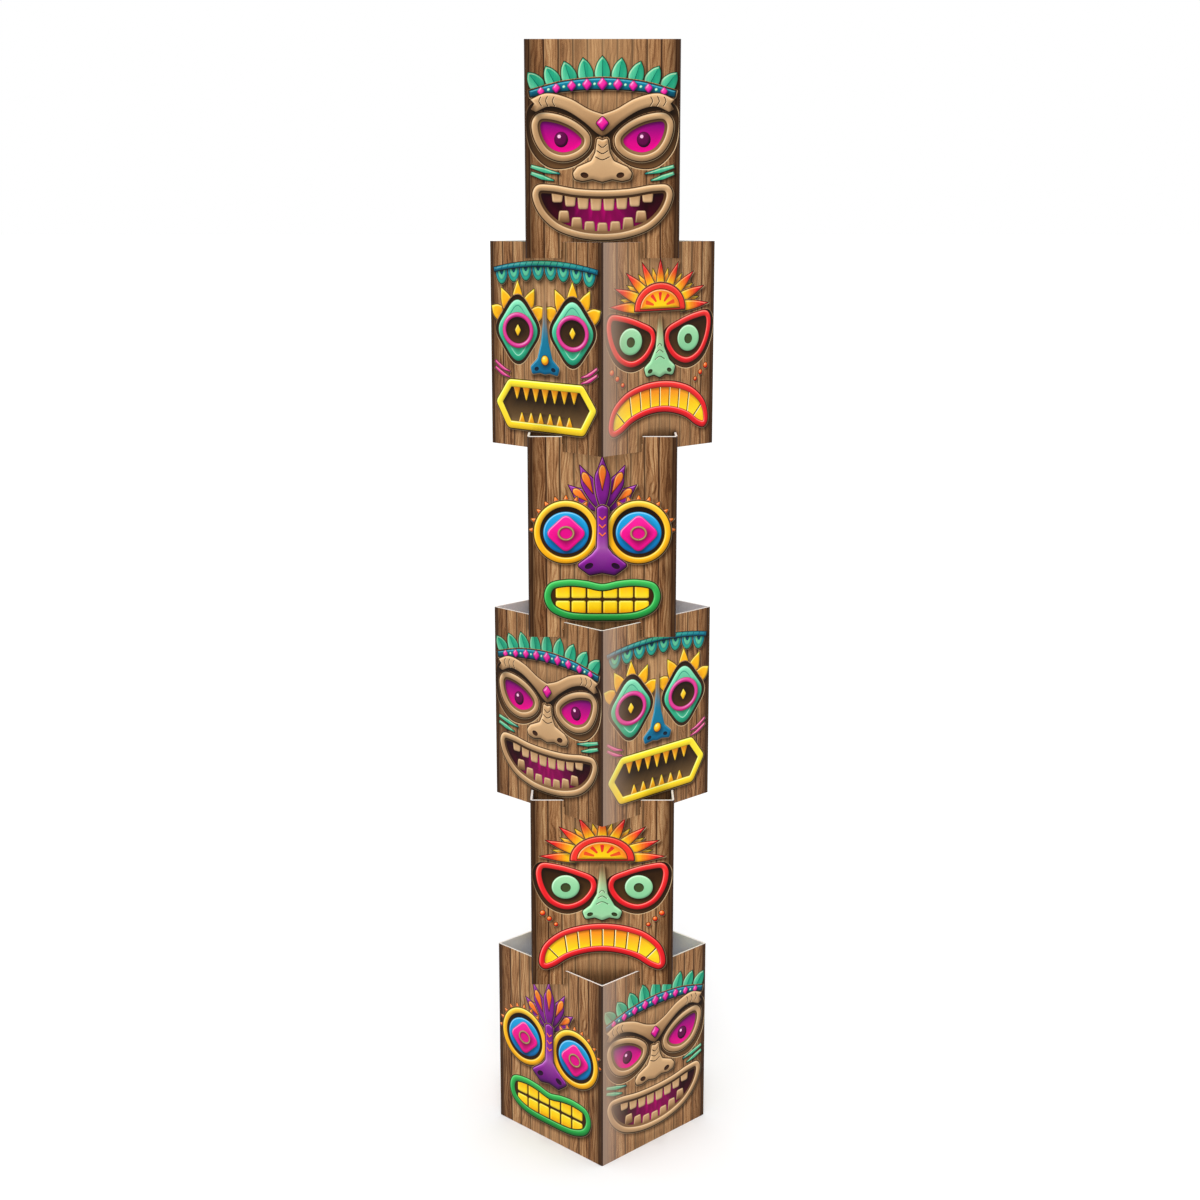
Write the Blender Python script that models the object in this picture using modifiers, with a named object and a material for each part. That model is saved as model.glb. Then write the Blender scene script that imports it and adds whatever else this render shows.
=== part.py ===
"""Tiki party column: six open square card sleeves, slotted into one another.

Every second sleeve is turned 45 degrees. Where two sleeves overlap, each one
is notched for half the overlap where the other's walls cross it, so the walls
lock together. All sizes are in metres, +Z is up, the front of the column
faces -Y, and the origin is in the middle of the footprint, on the floor.
"""

from math import pi

import bmesh
import bpy
from mathutils import Matrix

# ---------------------------------------------------------------- dimensions
SLEEVE_COUNT = 6
SLEEVE_HEIGHT = 0.320      # every sleeve, top edge to bottom edge
OVERLAP = 0.024            # how far a sleeve reaches into the next one down
PITCH = SLEEVE_HEIGHT - OVERLAP

SIDE_SQUARE = 0.2335       # outer side of sleeves 1, 3 and 5, flat to the front
SIDE_TURNED = 0.2525       # outer side of sleeves 2, 4 and 6, corner to the front
BOARD = 0.0030             # thickness of the single-wall board
FOLD_RADIUS = 0.0020       # outside of a folded corner
FOLD_STEPS = 3

SLOT_CLEARANCE = 0.0005    # from a notch's side to the wall that crosses it
SEAT_GAP = 0.0003          # between the two notch floors that rest on each other

FLAP_WIDTH = 0.026         # glue flap inside one rear corner
FLAP_INSET = 0.034         # the flap starts and ends this far from the edges
FLAP_TAPER = 0.010         # its slanted ends
FLAP_BITE = 0.0004         # how far it sinks into the wall that it is glued to

PRINT_BROWN = (0.36, 0.23, 0.13)
COLUMN = "tiki_column"

NAMES = [
    "sleeve_1_top",
    "sleeve_2",
    "sleeve_3",
    "sleeve_4",
    "sleeve_5",
    "sleeve_6_base",
]


# ------------------------------------------------------------------ helpers
def clear_scene():
    for ob in list(bpy.data.objects):
        bpy.data.objects.remove(ob, do_unlink=True)
    for group in list(bpy.data.collections):
        bpy.data.collections.remove(group)


def new_collection(name):
    made = bpy.data.collections.new(name)
    bpy.context.scene.collection.children.link(made)
    return made


def new_object(bm, name, collection):
    mesh = bpy.data.meshes.new(name)
    bm.normal_update()
    bm.to_mesh(mesh)
    bm.free()
    ob = bpy.data.objects.new(name, mesh)
    collection.objects.link(ob)
    return ob


def square_block(side, height, radius=0.0):
    """A closed block standing on z = 0, with its upright edges rounded."""
    bm = bmesh.new()
    bmesh.ops.create_cube(bm, size=1.0)
    bmesh.ops.scale(bm, vec=(side, side, height), verts=bm.verts)
    bmesh.ops.translate(bm, vec=(0, 0, height / 2), verts=bm.verts)
    if radius:
        upright = [
            e for e in bm.edges
            if abs(e.verts[0].co.z - e.verts[1].co.z) > height / 2
        ]
        bmesh.ops.bevel(
            bm, geom=upright, offset=radius, offset_type="OFFSET",
            segments=FOLD_STEPS, profile=0.5, affect="EDGES",
        )
    return bm


def as_cutter(ob):
    ob.hide_render = True
    ob.display_type = "WIRE"
    return ob


def boolean(ob, other, operation):
    mod = ob.modifiers.new(f"{operation.lower()}_{other.name}", "BOOLEAN")
    mod.operation = operation
    mod.solver = "EXACT"
    mod.object = other


def board_material(name):
    mat = bpy.data.materials.new(name)
    mat.use_nodes = True
    shader = mat.node_tree.nodes["Principled BSDF"]
    shader.inputs["Base Color"].default_value = (*PRINT_BROWN, 1.0)
    shader.inputs["Roughness"].default_value = 0.45
    shader.inputs["Metallic"].default_value = 0.0
    mat.diffuse_color = (*PRINT_BROWN, 1.0)
    return mat


# --------------------------------------------------------------- the sleeves
def is_turned(i):
    return i % 2 == 1


def side_of(i):
    return SIDE_TURNED if is_turned(i) else SIDE_SQUARE


def turn_of(i):
    return pi / 4 if is_turned(i) else 0.0


def foot_of(i):
    """Height of the bottom edge of sleeve i, counted from the top, 0 to 5."""
    return (SLEEVE_COUNT - 1 - i) * PITCH


def place(ob, i, z):
    ob.location = (0, 0, z)
    ob.rotation_euler = (0, 0, turn_of(i))


def wall_ring(i, low, high, cutters, name):
    """The walls of sleeve i between two heights, grown by the clearance: what
    a neighbour has to be notched by to let those walls through."""
    outer = side_of(i) + 2 * SLOT_CLEARANCE
    inner = side_of(i) - 2 * BOARD - 2 * SLOT_CLEARANCE
    bm = bmesh.new()
    bmesh.ops.create_cube(bm, size=1.0)
    bmesh.ops.scale(bm, vec=(inner, inner, high - low), verts=bm.verts)
    bmesh.ops.translate(bm, vec=(0, 0, (high - low) / 2), verts=bm.verts)
    ends = [f for f in bm.faces if abs(f.normal.z) > 0.5]
    bmesh.ops.delete(bm, geom=ends, context="FACES_ONLY")
    ring = as_cutter(new_object(bm, name, cutters))
    place(ring, i, low)
    wall = ring.modifiers.new("wall", "SOLIDIFY")
    wall.thickness = (outer - inner) / 2
    wall.offset = 1.0
    wall.use_even_offset = True
    return ring


def glue_flap(i, cutters):
    """The flap behind the rear fold: flat on the inside of one wall, its ends
    cut on a slant. It is one sheet with the sleeve. On a sleeve that stands
    square it is at the rear left corner, on a turned one at the rear corner."""
    side = side_of(i)
    hand = 1 if is_turned(i) else -1
    face = side / 2 - BOARD               # inside face of the rear wall, y = face
    length = SLEEVE_HEIGHT - 2 * FLAP_INSET
    bm = bmesh.new()
    bmesh.ops.create_cube(bm, size=1.0)
    depth = BOARD + FLAP_BITE
    bmesh.ops.scale(bm, vec=(FLAP_WIDTH + FLAP_BITE, depth, length), verts=bm.verts)
    bmesh.ops.translate(
        bm,
        vec=(
            hand * (face + FLAP_BITE - (FLAP_WIDTH + FLAP_BITE) / 2),
            face + FLAP_BITE - depth / 2,
            FLAP_INSET + length / 2,
        ),
        verts=bm.verts,
    )
    free = [v for v in bm.verts if hand * v.co.x < face - FLAP_WIDTH / 2]
    for v in free:                         # the free edge is shorter than the fold
        v.co.z += FLAP_TAPER if v.co.z < SLEEVE_HEIGHT / 2 else -FLAP_TAPER
    flap = as_cutter(new_object(bm, f"flap_{i + 1}", cutters))
    place(flap, i, foot_of(i))
    return flap


def build_sleeve(i, column, cutters):
    side = side_of(i)
    sleeve = new_object(square_block(side, SLEEVE_HEIGHT, FOLD_RADIUS), NAMES[i], column)
    place(sleeve, i, foot_of(i))
    sleeve.data.materials.append(board_material(f"printed_board_{i + 1}"))

    inside = side - 2 * BOARD
    bm = square_block(inside, SLEEVE_HEIGHT + 0.02)
    bmesh.ops.transform(bm, matrix=Matrix.Translation((0, 0, -0.01)), verts=bm.verts)
    core = as_cutter(new_object(bm, f"inside_{i + 1}", cutters))
    place(core, i, foot_of(i))
    boolean(sleeve, core, "DIFFERENCE")
    boolean(sleeve, glue_flap(i, cutters), "UNION")

    top = foot_of(i) + SLEEVE_HEIGHT
    middle_up = top - OVERLAP / 2          # half-way down the joint above
    middle_down = foot_of(i) + OVERLAP / 2  # half-way up the joint below
    if i > 0:                              # notches in the top edge
        boolean(
            sleeve,
            wall_ring(i - 1, middle_up - SEAT_GAP / 2, top + 0.01, cutters,
                      f"notch_top_{i + 1}"),
            "DIFFERENCE",
        )
    if i < SLEEVE_COUNT - 1:               # notches in the bottom edge
        boolean(
            sleeve,
            wall_ring(i + 1, foot_of(i) - 0.01, middle_down + SEAT_GAP / 2, cutters,
                      f"notch_bottom_{i + 1}"),
            "DIFFERENCE",
        )
    return sleeve


def main():
    clear_scene()
    column = new_collection(COLUMN)
    cutters = new_collection("cutters")
    frame = bpy.data.objects.new("column_axis", None)
    frame.empty_display_size = 0.1
    column.objects.link(frame)
    for i in range(SLEEVE_COUNT):
        sleeve = build_sleeve(i, column, cutters)
        sleeve.parent = frame
    bpy.context.view_layer.update()


main()
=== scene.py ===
"""The looks of the tiki column: printed card, liner, cut edges, floor and light.

Six open square sleeves of printed board stay as the CAD made them and get the
materials of real board. Every outer panel carries its print as a thin skin of
its own: the planks of the ground are procedural, and the masks are drawn here
as outlines in millimetres, cut into the skin's mesh, and shaded like airbrush
work by functions of the distance from each outline.
"""
import math

import bpy
import numpy as np
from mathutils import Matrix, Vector
from mathutils.geometry import delaunay_2d_cdt


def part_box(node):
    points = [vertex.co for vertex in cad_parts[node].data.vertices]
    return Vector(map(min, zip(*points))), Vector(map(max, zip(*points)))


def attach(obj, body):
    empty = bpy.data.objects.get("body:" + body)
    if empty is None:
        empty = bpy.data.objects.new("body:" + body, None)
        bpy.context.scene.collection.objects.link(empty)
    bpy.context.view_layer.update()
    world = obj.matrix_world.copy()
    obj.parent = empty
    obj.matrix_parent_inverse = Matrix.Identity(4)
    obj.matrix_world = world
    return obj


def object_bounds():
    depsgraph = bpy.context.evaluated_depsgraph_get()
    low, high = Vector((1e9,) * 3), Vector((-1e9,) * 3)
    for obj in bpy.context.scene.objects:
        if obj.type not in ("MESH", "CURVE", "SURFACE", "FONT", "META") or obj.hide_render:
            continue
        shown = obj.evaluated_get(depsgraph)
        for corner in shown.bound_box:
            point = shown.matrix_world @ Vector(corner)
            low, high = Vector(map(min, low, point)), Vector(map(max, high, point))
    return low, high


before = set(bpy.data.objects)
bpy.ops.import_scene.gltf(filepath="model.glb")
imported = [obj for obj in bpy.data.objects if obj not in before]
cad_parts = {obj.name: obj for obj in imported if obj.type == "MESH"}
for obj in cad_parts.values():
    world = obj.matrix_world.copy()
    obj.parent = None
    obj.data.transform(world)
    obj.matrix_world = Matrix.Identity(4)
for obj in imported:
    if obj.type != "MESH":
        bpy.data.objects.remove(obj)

cad_low, cad_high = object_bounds()
scene = bpy.context.scene

# ------------------------------------------------------------------ the panels
SLEEVES = ["sleeve_1_top", "sleeve_2", "sleeve_3", "sleeve_4", "sleeve_5", "sleeve_6_base"]
ART_WIDTH = 233.5          # the drawings' own sheet, in mm; wider panels stretch it
ART_HEIGHT = 320.0
PROUD = 0.00008            # the print stands this far off the board, in metres
SUNK = 0.00005             # and its back lies this far inside the board's face

# Which drawing each panel carries. A panel is named by the way it faces.
PANELS = {
    0: {"front": "A", "right": "B", "back": "D", "left": "C"},
    1: {"front_left": "B", "front_right": "D", "back_right": "C", "back_left": "A"},
    2: {"front": "C", "right": "A", "back": "B", "left": "D"},
    3: {"front_left": "A", "front_right": "B", "back_right": "D", "back_left": "C"},
    4: {"front": "D", "right": "C", "back": "A", "left": "B"},
    5: {"front_left": "C", "front_right": "A", "back_right": "B", "back_left": "D"},
}
FACING = {
    "front": -90, "right": 0, "back": 90, "left": 180,
    "front_left": -135, "front_right": -45, "back_right": 45, "back_left": 135,
}


# --------------------------------------------------------- flat drawing, in mm
# x runs right from the middle of the panel, y runs down from its top edge.
STEP = 2.3


def pts(points):
    return np.array(points, dtype=float).reshape(-1, 2)


def area(p):
    x, y = p[:, 0], p[:, 1]
    return 0.5 * float(np.sum(x * np.roll(y, -1) - np.roll(x, -1) * y))


def turned(p):
    """The same outline, wound so that its inside is on the left."""
    return p if area(p) > 0 else p[::-1].copy()


def even(p, step=STEP, closed=True):
    """Points an equal way apart along a smooth line."""
    q = np.vstack([p, p[:1]]) if closed else p
    s = np.concatenate([[0.0], np.cumsum(np.hypot(*np.diff(q, axis=0).T))])
    n = max(8 if closed else 1, int(round(s[-1] / step)))
    t = np.linspace(0.0, s[-1], n + 1)
    if closed:
        t = t[:-1]
    return np.stack([np.interp(t, s, q[:, 0]), np.interp(t, s, q[:, 1])], 1)


def straight(p, step=6.0, closed=True):
    """Keeps every corner and divides the long sides."""
    p = pts(p)
    out = []
    n = len(p)
    for i in range(n if closed else n - 1):
        a, b = p[i], p[(i + 1) % n]
        m = max(1, int(math.ceil(np.hypot(*(b - a)) / step)))
        out += [a + (b - a) * k / m for k in range(m)]
    if not closed:
        out.append(p[-1])
    return pts(out)


def curve(points, step=STEP, closed=False):
    """A smooth line through the points (centripetal Catmull-Rom)."""
    p = pts(points)
    n = len(p)
    if closed:
        get = lambda i: p[i % n]
        spans = range(n)
    else:
        first, last = 2 * p[0] - p[1], 2 * p[-1] - p[-2]
        get = lambda i: first if i < 0 else last if i >= n else p[i]
        spans = range(n - 1)
    out = []
    for i in spans:
        a, b, c, d = get(i - 1), get(i), get(i + 1), get(i + 2)
        ta = 0.0
        tb = ta + max(np.hypot(*(b - a)), 1e-6) ** 0.5
        tc = tb + max(np.hypot(*(c - b)), 1e-6) ** 0.5
        td = tc + max(np.hypot(*(d - c)), 1e-6) ** 0.5
        t = np.linspace(tb, tc, 15)[:-1, None]
        ab = (tb - t) / (tb - ta) * a + (t - ta) / (tb - ta) * b
        bc = (tc - t) / (tc - tb) * b + (t - tb) / (tc - tb) * c
        cd = (td - t) / (td - tc) * c + (t - tc) / (td - tc) * d
        abc = (tc - t) / (tc - ta) * ab + (t - ta) / (tc - ta) * bc
        bcd = (td - t) / (td - tb) * bc + (t - tb) / (td - tb) * cd
        out.append((tc - t) / (tc - tb) * abc + (t - tb) / (tc - tb) * bcd)
    dense = np.vstack(out)
    if not closed:
        dense = np.vstack([dense, p[-1:]])
    return even(dense, step, closed)


def blob(points, step=STEP):
    return turned(curve(points, step, True))


def join(*pieces):
    """One outline of open pieces laid end to end, with corners between them."""
    out = []
    for piece in pieces:
        piece = pts(piece)
        if out and np.hypot(*(piece[0] - out[-1])) < 1e-3:
            piece = piece[1:]
        out += list(piece)
    if np.hypot(*(out[0] - out[-1])) < 1e-3:
        out.pop()
    return turned(pts(out))


def flip(p):
    """The mirror image about the panel's middle."""
    return turned(pts(p) * (-1.0, 1.0))


def whole(half):
    """A closed outline from its right half, given from the top down."""
    half = pts(half)
    other = half[np.abs(half[:, 0]) > 1e-6] * (-1.0, 1.0)
    return np.vstack([half, other[::-1]])


def spin(p, degrees, about=(0.0, 0.0)):
    a = math.radians(degrees)
    m = np.array([[math.cos(a), math.sin(a)], [-math.sin(a), math.cos(a)]])
    return (pts(p) - about) @ m + about


def oval(cx, cy, rx, ry=None, tilt=0.0, power=2.0, step=STEP):
    ry = rx if ry is None else ry
    n = max(10, int(math.pi * (rx + ry) / step))
    t = np.linspace(0, 2 * math.pi, n, endpoint=False)
    c, s = np.cos(t), np.sin(t)
    e = 2.0 / power
    p = np.stack([rx * np.sign(c) * abs(c) ** e, ry * np.sign(s) * abs(s) ** e], 1)
    if power != 2.0:
        p = even(p, step)
    return turned(spin(p + (cx, cy), tilt, (cx, cy)))


def soft(points, r, step=STEP):
    """A polygon with its corners rounded by r, or by one radius each."""
    p = pts(points)
    n = len(p)
    radii = [r] * n if np.isscalar(r) else list(r)
    out = []
    for i in range(n):
        a, b, c = p[i - 1], p[i], p[(i + 1) % n]
        u, v = a - b, c - b
        lu, lv = np.hypot(*u), np.hypot(*v)
        u, v = u / lu, v / lv
        angle = math.acos(max(-1, min(1, float(u @ v))))
        cut = min(radii[i] / max(math.tan(angle / 2), 1e-6), lu * 0.49, lv * 0.49)
        if cut < 0.05:
            out.append(b)
            continue
        t = np.linspace(0, 1, 9)[:, None]
        s, e = b + u * cut, b + v * cut
        out += list((1 - t) ** 2 * s + 2 * t * (1 - t) * b + t ** 2 * e)
    out = pts(out)
    if min(radii) > 0.3:
        return turned(even(out, step))
    return turned(straight(out, step * 2))


def band(line, widths):
    """A closed strip along a line, as wide as given at each of its points."""
    line = pts(line)
    t = np.gradient(line, axis=0)
    t /= np.hypot(t[:, 0], t[:, 1])[:, None]
    n = np.stack([-t[:, 1], t[:, 0]], 1)
    w = np.interp(
        np.linspace(0, 1, len(line)), np.linspace(0, 1, len(widths)), widths
    )[:, None] / 2
    return turned(np.vstack([line + n * w, (line - n * w)[::-1]]))


def arc(cx, cy, r, a0, a1, step=STEP, ry=None):
    """Part of a circle or an ellipse; angles in degrees, 0 right, 90 down."""
    ry = r if ry is None else ry
    n = max(3, int(abs(math.radians(a1 - a0)) * max(r, ry) / step) + 1)
    t = np.radians(np.linspace(a0, a1, n))
    return np.stack([cx + r * np.cos(t), cy + ry * np.sin(t)], 1)


def nearest(q, p):
    """How far each point of q is from the outline p, and the way in from there."""
    b = np.roll(p, -1, 0)
    ab = b - p
    l2 = np.maximum((ab ** 2).sum(1), 1e-12)
    way = np.stack([-ab[:, 1], ab[:, 0]], 1) / np.sqrt(l2)[:, None]
    corner = way + np.roll(way, 1, 0)
    corner /= np.maximum(np.hypot(corner[:, 0], corner[:, 1]), 1e-9)[:, None]
    dist = np.empty(len(q))
    inward = np.empty((len(q), 2))
    for s in range(0, len(q), 2048):
        part = q[s:s + 2048]
        ap = part[:, None] - p[None]
        t = np.clip((ap * ab).sum(2) / l2, 0, 1)
        d2 = ((ap - t[..., None] * ab) ** 2).sum(2)
        j = d2.argmin(1)
        r = np.arange(len(part))
        dist[s:s + 2048] = np.sqrt(d2[r, j])
        k = t[r, j][:, None]
        v = corner[j] * (1 - k) + corner[(j + 1) % len(p)] * k
        inward[s:s + 2048] = v / np.maximum(np.hypot(v[:, 0], v[:, 1]), 1e-9)[:, None]
    return dist, inward


def within(q, p):
    x, y = q[:, 0][:, None], q[:, 1][:, None]
    x0, y0 = p[:, 0], p[:, 1]
    x1, y1 = np.roll(x0, -1), np.roll(y0, -1)
    dy = np.where(abs(y1 - y0) < 1e-12, 1e-12, y1 - y0)
    hit = ((y0 > y) != (y1 > y)) & (x < (x1 - x0) * (y - y0) / dy + x0)
    return hit.sum(1) % 2 == 1


def grown(p, d):
    """The outline moved out by d mm, or in where d is negative."""
    p = turned(p)
    n = len(p)
    e = np.roll(p, -1, 0) - p
    e /= np.maximum(np.hypot(e[:, 0], e[:, 1]), 1e-9)[:, None]
    out_way = np.stack([e[:, 1], -e[:, 0]], 1)
    out = []
    for i in range(n):
        n0, n1 = out_way[i - 1], out_way[i]
        c = float(n0 @ n1)
        if c > 0.6:
            out.append(p[i] + (n0 + n1) / (1 + c) * d)
        elif (n0[0] * n1[1] - n0[1] * n1[0] > 0) == (d > 0):
            a0 = math.atan2(n0[1], n0[0])
            turn = math.acos(max(-1, min(1, c))) * (1 if n0[0] * n1[1] > n0[1] * n1[0] else -1)
            for k in range(5):
                a = a0 + turn * k / 4
                out.append(p[i] + (math.cos(a) * d, math.sin(a) * d))
        else:
            out.append(p[i] + (n0 + n1) / max(1 + c, 0.25) * d)
    q = pts(out)
    keep = nearest(q, p)[0] > abs(d) * 0.97 - 1e-6
    keep &= within(q, p) == (d < 0)
    q = q[keep]
    return turned(q) if len(q) > 5 else None


def common(p, q):
    """The outline of the part of p that lies inside q."""
    co, _, faces, _, _, owners = delaunay_2d_cdt(
        [Vector(v) for v in np.vstack([p, q]).tolist()], [],
        [list(range(len(p))), list(range(len(p), len(p) + len(q)))], 1, 0.005, True)
    edges = {}
    for f, own in zip(faces, owners):
        if 0 in own and 1 in own:
            for a, b in zip(f, f[1:] + f[:1]):
                if (b, a) in edges:
                    del edges[(b, a)]
                else:
                    edges[(a, b)] = True
    after = {a: b for a, b in edges}
    best = []
    while after:
        first, b = next(iter(after.items()))
        loop = [first]
        del after[first]
        while b != first and b in after:
            loop.append(b)
            b = after.pop(b)
        if len(loop) > len(best):
            best = loop
    return turned(np.array([co[k][:] for k in best])) if len(best) > 2 else None


def smooth(a, b, x):
    t = np.clip((x - a) / (b - a), 0, 1)
    return t * t * (3 - 2 * t)


# ------------------------------------------------------------ airbrush colours
def rgb(*c):
    return np.array(c, dtype=float) / 255.0


def to_linear(c):
    c = np.clip(c, 0, 1)
    return np.where(c <= 0.04045, c / 12.92, ((c + 0.055) / 1.055) ** 2.4)


CREAM = rgb(244, 226, 190)
LIP = rgb(38, 20, 8)
TAN_LIGHT = rgb(202, 163, 119)
TAN = rgb(181, 141, 99)
TAN_DEEP = rgb(122, 86, 54)
HOLLOW = rgb(72, 46, 20)
HOLLOW_DEEP = rgb(34, 19, 8)
MAGENTA = rgb(214, 0, 128)
MAGENTA_DEEP = rgb(128, 0, 112)
MAROON = rgb(62, 2, 22)
TEAL = rgb(58, 180, 136)
TEAL_DEEP = rgb(22, 146, 112)
MINT = rgb(112, 208, 164)
PETROL = rgb(8, 112, 140)
PETROL_DEEP = rgb(4, 78, 102)
PINK = rgb(224, 58, 146)
PINK_DEEP = rgb(160, 20, 100)
YELLOW = rgb(255, 226, 48)
YELLOW_DEEP = rgb(214, 160, 20)
AMBER = rgb(253, 184, 24)
AMBER_DEEP = rgb(206, 122, 14)
BLUE = rgb(16, 142, 206)
BLUE_DEEP = rgb(8, 96, 160)
HOT = rgb(240, 18, 140)
HOT_DEEP = rgb(176, 8, 110)
PURPLE = rgb(126, 28, 136)
PURPLE_DEEP = rgb(78, 14, 96)
PURPLE_PALE = rgb(158, 84, 160)
ORANGE = rgb(243, 112, 34)
ORANGE_DEEP = rgb(206, 74, 18)
GREEN = rgb(44, 164, 74)
GREEN_DEEP = rgb(20, 116, 48)
GREEN_PALE = rgb(150, 224, 150)
TOOTH = rgb(255, 208, 10)
TOOTH_DEEP = rgb(226, 148, 8)
RED = rgb(234, 34, 40)
RED_DEEP = rgb(176, 16, 22)
RED_PALE = rgb(246, 92, 72)
PALE_GREEN = rgb(144, 208, 156)
SAGE = rgb(170, 196, 146)
SKY = np.array([-0.50, -0.866])        # the way to the drawn light: up and left


def blend(c0, c1, t):
    return c0 + (c1 - c0) * np.asarray(t)[:, None]


def flat(c):
    return lambda q: np.repeat(np.asarray(c)[None, :], len(q), 0)


def along(p0, p1, *stops):
    """A gradient from p0 to p1. stops: colours, evenly spaced, or (place, colour)."""
    if not isinstance(stops[0], tuple):
        stops = [(i / (len(stops) - 1), c) for i, c in enumerate(stops)]
    at = np.array([s[0] for s in stops])
    cs = np.array([s[1] for s in stops])
    p0, way = pts(p0)[0], pts(p1)[0] - pts(p0)[0]

    def paint(q):
        t = ((q - p0) @ way) / float(way @ way)
        return np.stack([np.interp(t, at, cs[:, i]) for i in range(cs.shape[1])], 1)
    return paint


def down(y0, y1, *stops):
    return along((0, y0), (0, y1), *stops)


def around(cx, cy, r, *stops, squeeze=1.0):
    """A gradient outwards from a point."""
    at = np.linspace(0, 1, len(stops))
    cs = np.array(stops)

    def paint(q):
        t = np.hypot(q[:, 0] - cx, (q[:, 1] - cy) * squeeze) / r
        return np.stack([np.interp(t, at, cs[:, i]) for i in range(cs.shape[1])], 1)
    return paint


def fade(paint, alpha):
    """The same paint, let through by alpha(q), 1 where it covers."""
    return lambda q: np.concatenate([paint(q), alpha(q)[:, None]], 1)


# A finish turns (points, distance in from the edge, how far the edge faces the
# light) into colour. Its rings are the distances at which its mesh needs points.
def plain(base):
    def f(q, d, lit):
        return base(q)
    f.rings = ()
    return f


def carved(base, wide=5.0, depth=0.30, shine=0.75, lip=0.5, pale=CREAM, at=1.6):
    """A raised shape: its bright edge towards the light, its dark one away."""
    def f(q, d, lit):
        c = base(q)
        c, extra = c[:, :3], c[:, 3:]
        slope = np.clip(1 - d / wide, 0, 1)
        gain = 1 + depth * lit * slope
        c = c * gain[:, None]
        line = np.clip(1 - abs(d - at) / 0.9, 0, 1) * np.clip(lit * 1.1 + 0.15, 0, 1)
        c = blend(c, pale, shine * line)
        dark = np.clip(1 - d / 0.9, 0, 1) * lip
        c = blend(c, LIP, dark)
        return np.concatenate([np.clip(c, 0, 1), extra], 1)
    f.rings = (0.8, at, at + 0.9, max(wide, at + 2.0))
    return f


def hollow(base, wide=9.0, depth=0.55, glow=0.10):
    """A sunk shape: shadow under the edge that the light comes over."""
    def f(q, d, lit):
        c = base(q)
        c, extra = c[:, :3], c[:, 3:]
        slope = np.clip(1 - d / wide, 0, 1)
        gain = 1 - depth * slope * np.clip(0.45 + 0.55 * lit, 0, 1)
        gain += glow * slope * np.clip(-lit, 0, 1)
        dark = np.clip(1 - d / 0.8, 0, 1) * 0.5
        c = blend(np.clip(c * gain[:, None], 0, 1), LIP, dark)
        return np.concatenate([c, extra], 1)
    f.rings = (0.8, 2.5, wide * 0.55, wide)
    return f


def tube(base, dark, half, gloss=0.8, pale=None, lip=0.55):
    """A round bead or rim, half mm from its edge to its crest."""
    top = rgb(255, 255, 255) if pale is None else pale

    def f(q, d, lit):
        c = base(q)
        c, extra = c[:, :3], c[:, 3:]
        t = np.clip(d / half, 0, 1)
        up = np.sin(t * math.pi / 2)
        out = np.cos(t * math.pi / 2)
        light = np.clip(0.30 + 0.50 * up + 0.55 * out * lit, 0, 1)
        c = blend(np.repeat(np.asarray(dark)[None], len(q), 0), c, smooth(0.05, 0.75, light))
        spot = np.clip(0.78 * up + 0.62 * out * lit, 0, 1) ** 14
        c = blend(c, top, gloss * spot * np.clip(0.35 + lit, 0, 1))
        c = blend(c, LIP, np.clip(1 - d / 0.7, 0, 1) * lip)
        return np.concatenate([np.clip(c, 0, 1), extra], 1)
    f.rings = tuple(half * k for k in (0.16, 0.38, 0.62, 0.86))
    return f


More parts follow.
